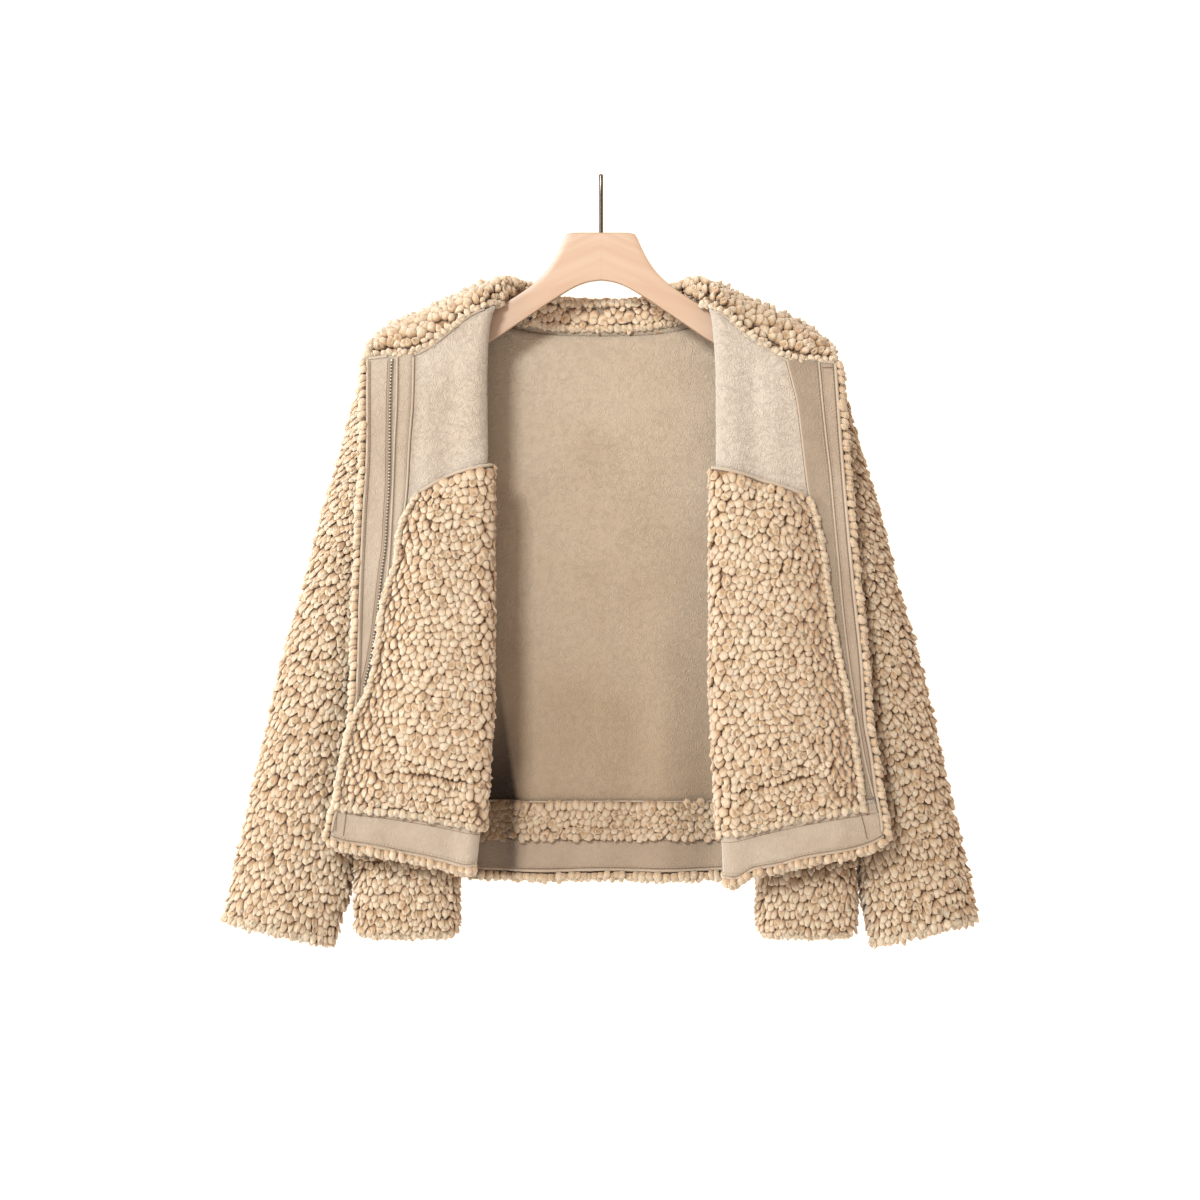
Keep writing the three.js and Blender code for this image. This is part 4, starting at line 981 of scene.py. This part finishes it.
# ---------- sleeves and tube ends ----------
for hand in "lr":
    out = 1 if hand == "l" else -1
    rng = np.random.default_rng(51 if hand == "l" else 52)
    S = sleeve_grid(hand)
    nS = normals(S, True) * out
    root = S - nS * 6.0
    sleeve = keep(shell("sleeve_cloth_" + hand, np.concatenate([root[:-1:2, ::2], root[-1:, ::2]]), np.concatenate([(S - nS * 8.1)[:-1:2, ::2], (S - nS * 8.1)[-1:, ::2]]), True), BACKING_SHADED, "suede", "sleeve_" + hand)
    down = S[-1].mean(0) - S[-8].mean(0)
    down /= np.linalg.norm(down)
    cuff = edge_pile(closed_line(root[-1]), down, closed_line(nS[-1]), rng, 6.6, depth=.2, angles=(0, 35, 68), core=.3, scale=1.25)
    up = -down
    head = edge_pile(closed_line(root[0]), up, closed_line(nS[0]), rng, 7.0, depth=.2, angles=(5, 45), core=.3)
    side_x = -1 if hand == "l" else 1
    gusset = np.array([(side_x * (228.5 + .14 * k * 6 + rng.uniform(-1, 1)), y + rng.uniform(-1, 1), -181 - 6 * k) for k in range(10) for y in (-13, -7, -1)]
                      + [(side_x * 225.5, -21 + rng.uniform(-1, 1), -177 - 6 * k) for k in range(2)]
                      + [(side_x * (228.0 + .6 * k), y, -178 - 6 * k) for k in range(9) for y in (33.5, 38)], float)
    gusset = (gusset, np.broadcast_to([side_x * .95, -.2, -.15], gusset.shape), np.full(len(gusset), 1.0), 0.0)
    zones = [(7.8, lambda P: P[:, 1] < 20), (10.2, lambda P: P[:, 1] >= 20)]
    spile = keep(pile_on("sleeve_pile_" + hand, S, out, -6.0, zones, 6.6, rng, True, [cuff, head, gusset], nap=tuple(down), aspect=1.55, lean=.75, shingle=.46), PILE, "pile")
    T = tube_grid(hand)
    nT = normals(T, True) * out
    root = T - nT * 5.4
    tube = keep(shell("tube_cloth_" + hand, root, T - nT * 7.1, True), BACKING_SHADED, "suede", "tube_" + hand)
    mouth = edge_pile(closed_line(root[-1]), (0, 0, -1), closed_line(nT[-1]), rng, 6.6, depth=.2, angles=(0, 35, 68), core=.3, scale=1.2)
    shown = lambda P: np.where(P[:, 2] < -640, 1.0, 0.0)
    sx, wide_x = (-1, 249) if hand == "l" else (1, 257)
    nook = np.array([(sx * (wide_x - 4 - 6.2 * i), -2 + rng.uniform(-2, 2), -668 - 5.6 * j) for i in range(5) for j in range(5)], float)
    nook = (nook, np.broadcast_to([sx * .15, -1.0, -.15], nook.shape), np.full(len(nook), .9), 0.0)
    tpile = keep(pile_on("tube_pile_" + hand, T, out, -5.4, 7.5, 6.0, rng, True, [mouth, nook], scale=shown, aspect=1.6, lean=.75, shingle=.46), PILE, "pile")

# ---------- cords, folded edges, stitches and zip ----------
def flap_line(hand, xs, z, lift):
    """A line on the flap's face at the widths xs (from the centre) and levels z."""
    sign = -1 if hand == "l" else 1
    z = np.asarray(z, float)
    x = sign * xs(z)
    return V(x, fold_y(z) - FOLD_RADIUS - creased(FLAP_CREASES[hand], x, z) - lift, z)


def level(a, b, step=4.0):
    return np.linspace(a, b, max(int(abs(b - a) / step), 2) + 1)


cords, seams = [], []
left_edge = lambda z: FRONT_EDGE("l", z) - EDGE_PILE
right_edge = lambda z: FRONT_EDGE("r", z) - EDGE_PILE
cords.append(rod_along(flap_line("l", lambda z: left_edge(z) - .8, level(-188, -660), 2.4), 1.5))
cords.append(rod_along(flap_line("r", lambda z: right_edge(z) - .8, level(-192, -660), 2.4), 1.5))
cords.append(rod_along(flap_line("l", lambda z: ZIP("ridge", z), level(-186, -528), 2.5), .9))
cords.append(rod_along(flap_line("l", lambda z: FACING_L("inner", z) + .3, level(-186, -527), 1.5), 1.2))
cords.append(rod_along(flap_line("r", lambda z: FACING_R("inner", z) + .3, level(-188, -625), 1.5), 1.2))
cords.append(rod_along(flap_line("r", lambda z: FACING_R("seam", z) + .5, level(-191, -625), 2.4), 1.0))
for hand in "lr":
    sign = -1 if hand == "l" else 1
    head = pocket_grid(hand)[0]
    nh = (normals(pocket_grid(hand)) * (1 if hand == "l" else -1))[0]
    cords.append(rod_along(head + nh * 3.4 + [0, 0, 1.2], 1.7))
    xs = np.linspace(116, 238, 46)
    zt = FLAP_TOP(hand, xs)
    top = V(sign * xs, fold_y(zt) - FOLD_RADIUS - creased(FLAP_CREASES[hand], sign * xs, zt) - .6, zt - 1.6)
    cords.append(rod_along(top, 1.1))
    Hm = hem_grid(hand)
    nH = normals(Hm) * (1 if hand == "l" else -1)
    cords.append(rod_along(Hm[-1] + nH[-1] * 1.4, 1.5))
    cords.append(rod_along(Hm[0] + nH[0] * 2.0, .9))
cords.append(rod_along(Hb[-1] + nHb[-1] * 1.8, 1.4))
cords.append(rod_along(Sb[0] + nSb[0] * 2.6 + [0, 0, 1.2], 1.3))
cords.append(rod_along(Hb[0] + nHb[0] * 2.4, .9))
for hand, x0, x1 in (("l", 213.5, 232), ("r", 219, 233)):
    sign = -1 if hand == "l" else 1
    xs = np.linspace(x0, x1, 12)
    zt = FLAP_TOP(hand, xs) - 1.2
    cords.append(rod_along(V(sign * xs, fold_y(zt) - FOLD_RADIUS - creased(FLAP_CREASES[hand], sign * xs, zt) - 2.5, zt), 1.4))
edges = keep(joined("folded_edges", cords), EDGE, "facing")

seams += stitched([flap_line("l", lambda z: left_edge(z) - 3.6, level(-190, -655), 2.5),
                   flap_line("r", lambda z: right_edge(z) - 3.8, level(-196, -655), 2.5),
                   flap_line("l", lambda z: ZIP("ridge", z) - 2.2, level(-188, -526), 2.5),
                   flap_line("r", lambda z: FACING_R("seam", z) + 3.0, level(-196, -622), 2.5),
                   flap_line("r", lambda z: FACING_R("seam", z) - 2.6, level(-193, -622), 2.5)])
seams += stitched([Hb[0] * .15 + Hb[1] * .85 + nHb[1] * 2.8, Hb[-2] * .6 + Hb[-1] * .4 + nHb[-1] * 2.8])
for hand in "lr":
    Hm = hem_grid(hand)
    nH = normals(Hm) * (1 if hand == "l" else -1)
    seams += stitched([Hm[1] + nH[1] * 2.5, Hm[-2] + nH[-2] * 2.5])
thread = keep(joined("stitches", seams), THREAD, "facing")
# painted shadow: thin dark cords laid along seams, grooves and folded edges where only shade falls
dark = [rod_along(flap_line("l", lambda z: ZIP("ridge", z) - 1.3, level(-187, -528), 2.5), .42, 6),
        rod_along(flap_line("l", lambda z: ZIP("x", z) + 3.3, level(-190, -530), 2.6), .5, 6),
        rod_along(flap_line("l", lambda z: FACING_L("inner", z) - 1.0, level(-186, -327), .15), .5, 6),
        rod_along(flap_line("l", lambda z: left_edge(z) - 3.4, level(-191, -525), 2.45), .6, 6),
        rod_along(flap_line("r", lambda z: right_edge(z) - 3.6, level(-194, -640), 2.45), .6, 6),
        rod_along(flap_line("r", lambda z: FACING_R("seam", z) + 1.6, level(-192, -625), 2.4), .45, 6),
        rod_along(flap_line("r", lambda z: FACING_R("inner", z) - 1.1, level(-188, -335), .15), .5, 6),
        rod_along(flap_line("l", lambda z: np.interp(-z, [634, 659], [263, 264.4]), level(-636, -659, 3), 2.5), .45, 6),
        rod_along(flap_line("l", lambda z: np.interp(-z, [635, 666], [253, 257]), level(-638, -664, 3), 2.5), .5, 6),
        rod_along(flap_line("r", lambda z: np.interp(-z, [637, 670], [258, 266]), level(-640, -667, 3), 2.5), .5, 6)]
dark.append(rod_along(Hb[-1] + nHb[-1] * 2.6 + [0, 0, 2.2], .4, 6))
dark.append(rod_along(Sb[0] + nSb[0] * 3.2 + [0, 0, 2.6], .5, 6))
dark.append(rod_along(flap_line("r", lambda z: z * 0 + np.linspace(221, 232, len(z)), np.full(6, -197.0), 2.5), .55, 6))
dark.append(rod_along(Hb[0] + nHb[0] * 2.6 - [0, 0, 5.0], .45, 6))
for hand in "lr":
    Hm = hem_grid(hand)
    nH = normals(Hm) * (1 if hand == "l" else -1)
    dark.append(rod_along(Hm[-1] + nH[-1] * 2.2 + [0, 0, 2.4], .34, 6))
    dark.append(rod_along(Hm[2] + nH[2] * 2.2, .34, 6))
shadow_lines = keep(joined("seam_shadow_lines", dark), SEAM_SHADOW, "facing")

# zip half: tape and teeth
zl = level(-190, -531)
tape = strip_grid("l", lambda z: ZIP("x", z) - 2.6, lambda z: ZIP("x", z) + 3.4, -188, -529, cols=4)
nt = normals(tape)
zip_tape = keep(shell("zip_tape", tape + nt * 3.0, tape + nt * 2.4), TAPE, "facing", "zip_l")
teeth = []
at, t = along(flap_line("l", lambda z: ZIP("x", z) - .6, level(-191, -531, 2.0), 3.7), 3.3)
for i, (p, d) in enumerate(zip(at, t)):
    w = np.array([1.0, 0, 0]) - d * d[0]
    h = FRONTWARD
    a, b, c = w * .95, d * .62, h * .8
    q = [p + sa * a * (1 - .12 * (sc + 1)) + sb * b + sc * c for sc in (-1, 1) for sa, sb in ((-1, -1), (1, -1), (1, 1), (-1, 1))]
    f = np.array([[0, 3, 2, 1], [4, 5, 6, 7], [0, 1, 5, 4], [1, 2, 6, 5], [2, 3, 7, 6], [3, 0, 4, 7]])
    if np.dot(np.cross(a, b), c) < 0:
        f = f[:, ::-1]
    teeth.append((np.array(q), f, np.zeros((0, 3), int)))
stop = flap_line("l", lambda z: ZIP("x", z) - .6, np.array([-188.6, -190.9]), 3.8)
teeth.append(rod_along(stop, 1.5))
zip_teeth = keep(joined("zip_teeth", teeth), STEEL, "zip")
# painted shadow: a dark cord under the zip teeth that shows in the gaps between them
zip_shadow_cord = keep(joined("zip_gap_shadow_cord", [rod_along(flap_line("l", lambda z: ZIP("x", z) - .6, level(-190, -531), 2.7), 1.15, 6)]), ZIP_GAP_SHADOW, "facing")


# ---------- hanger ----------
def chaikin(P, times=2):
    P = np.asarray(P, float)
    for _ in range(times):
        Q, R = P[:-1] * .75 + P[1:] * .25, P[:-1] * .25 + P[1:] * .75
        P = np.concatenate([P[:1], np.stack([Q, R], 1).reshape(-1, 2), P[-1:]])
    return P


def resample(P, s):
    d = np.concatenate([[0], np.cumsum(np.linalg.norm(np.diff(P, axis=0), axis=1))])
    return np.stack([np.interp(s * d[-1], d, P[:, q]) for q in range(2)], 1)


HANGER_TOP = [(0, -59.3), (32, -59.3), (35.4, -62), (40.5, -74), (47.3, -87.5), (56.5, -100.6), (69.8, -112.5), (88, -125), (106, -135), (150, -157),
              (196, -178), (206, -185), (210, -193)]
HANGER_UNDER = [(0, -107), (13, -108.4), (26.5, -113.5), (39.8, -121.5), (51.5, -129), (80, -148), (112.5, -170.5), (150, -187), (192, -201), (205, -200)]
s = np.concatenate([[0], np.cumsum(np.linspace(1, .5, 70))])
s /= s[-1]
top, under = resample(chaikin(HANGER_TOP), s), resample(chaikin(HANGER_UNDER), s)
top, under = [np.concatenate([np.stack([-A[:0:-1, 0], A[:0:-1, 1]], 1), A]) for A in (top, under)]
section = [(0, -5.2, 0), (0, -6.0, .4), (0, -6.4, 1.0), (.0, -6.5, 1.9)]
ring = []
across = top - under
depth = np.linalg.norm(across, axis=1, keepdims=True)
unit = across / depth
for y, inset in ((-5.0, 0), (-5.9, .25), (-6.35, .85), (-6.5, 1.7)):
    ring.append(V(*(top - unit * inset).T, y)[:, [0, 2, 1]])
for share in (.25, .5, .75):
    ring.append(V(*(top * (1 - share) + under * share).T, -6.5)[:, [0, 2, 1]])
for y, inset in ((-6.5, 1.7), (-6.35, .85), (-5.9, .25), (-5.0, 0), (5.0, 0), (5.9, .25), (6.35, .85), (6.5, 1.7)):
    ring.append(V(*(under + unit * inset).T, y)[:, [0, 2, 1]])
for share in (.75, .5, .25):
    ring.append(V(*(top * (1 - share) + under * share).T, 6.5)[:, [0, 2, 1]])
for y, inset in ((6.5, 1.7), (6.35, .85), (5.9, .25), (5.0, 0)):
    ring.append(V(*(top - unit * inset).T, y)[:, [0, 2, 1]])
R = np.stack(ring, 1)
n, k = R.shape[:2]
idx = np.arange(n * k).reshape(n, k)
nxt = np.roll(idx, -1, 1)
quads = np.stack([idx[:-1].ravel(), nxt[:-1].ravel(), nxt[1:].ravel(), idx[1:].ravel()], 1)
verts = np.concatenate([R.reshape(-1, 3), R[0].mean(0)[None], R[-1].mean(0)[None]])
tris = np.concatenate([np.stack([nxt[0], idx[0], np.full(k, n * k)], 1), np.stack([idx[-1], nxt[-1], np.full(k, n * k + 1)], 1)])
p = verts[quads]
if np.einsum("ij,ij->i", p[:, 0], np.cross(p[:, 1], p[:, 2])).sum() < 0:
    quads, tris = quads[:, ::-1], tris[:, ::-1]
hanger = keep(mesh("hanger", verts, [quads, tris]), WOOD, "wood", "hanger_wood")

z = np.array([0, -.5, -1.2, -20, -40, -59.6, -61])
r = np.array([1.2, 1.8, 2.1, 2.1, 2.1, 2.1, 2.1])
th = np.linspace(0, 2 * math.pi, 24, endpoint=False)
R = V(r[:, None] * np.cos(th), r[:, None] * np.sin(th), z[:, None])
idx = np.arange(R.shape[0] * 24).reshape(-1, 24)
nxt = np.roll(idx, -1, 1)
verts = np.concatenate([R.reshape(-1, 3), [[0, 0, 0]], [[0, 0, -61]]])
quads = np.stack([idx[:-1].ravel(), idx[1:].ravel(), nxt[1:].ravel(), nxt[:-1].ravel()], 1)
tris = np.concatenate([np.stack([idx[0], nxt[0], np.full(24, len(verts) - 2)], 1), np.stack([nxt[-1], idx[-1], np.full(24, len(verts) - 1)], 1)])
rod = keep(mesh("rod", verts, [quads, tris]), ROD, "rod", "hanger_rod")

bpy.context.view_layer.update()
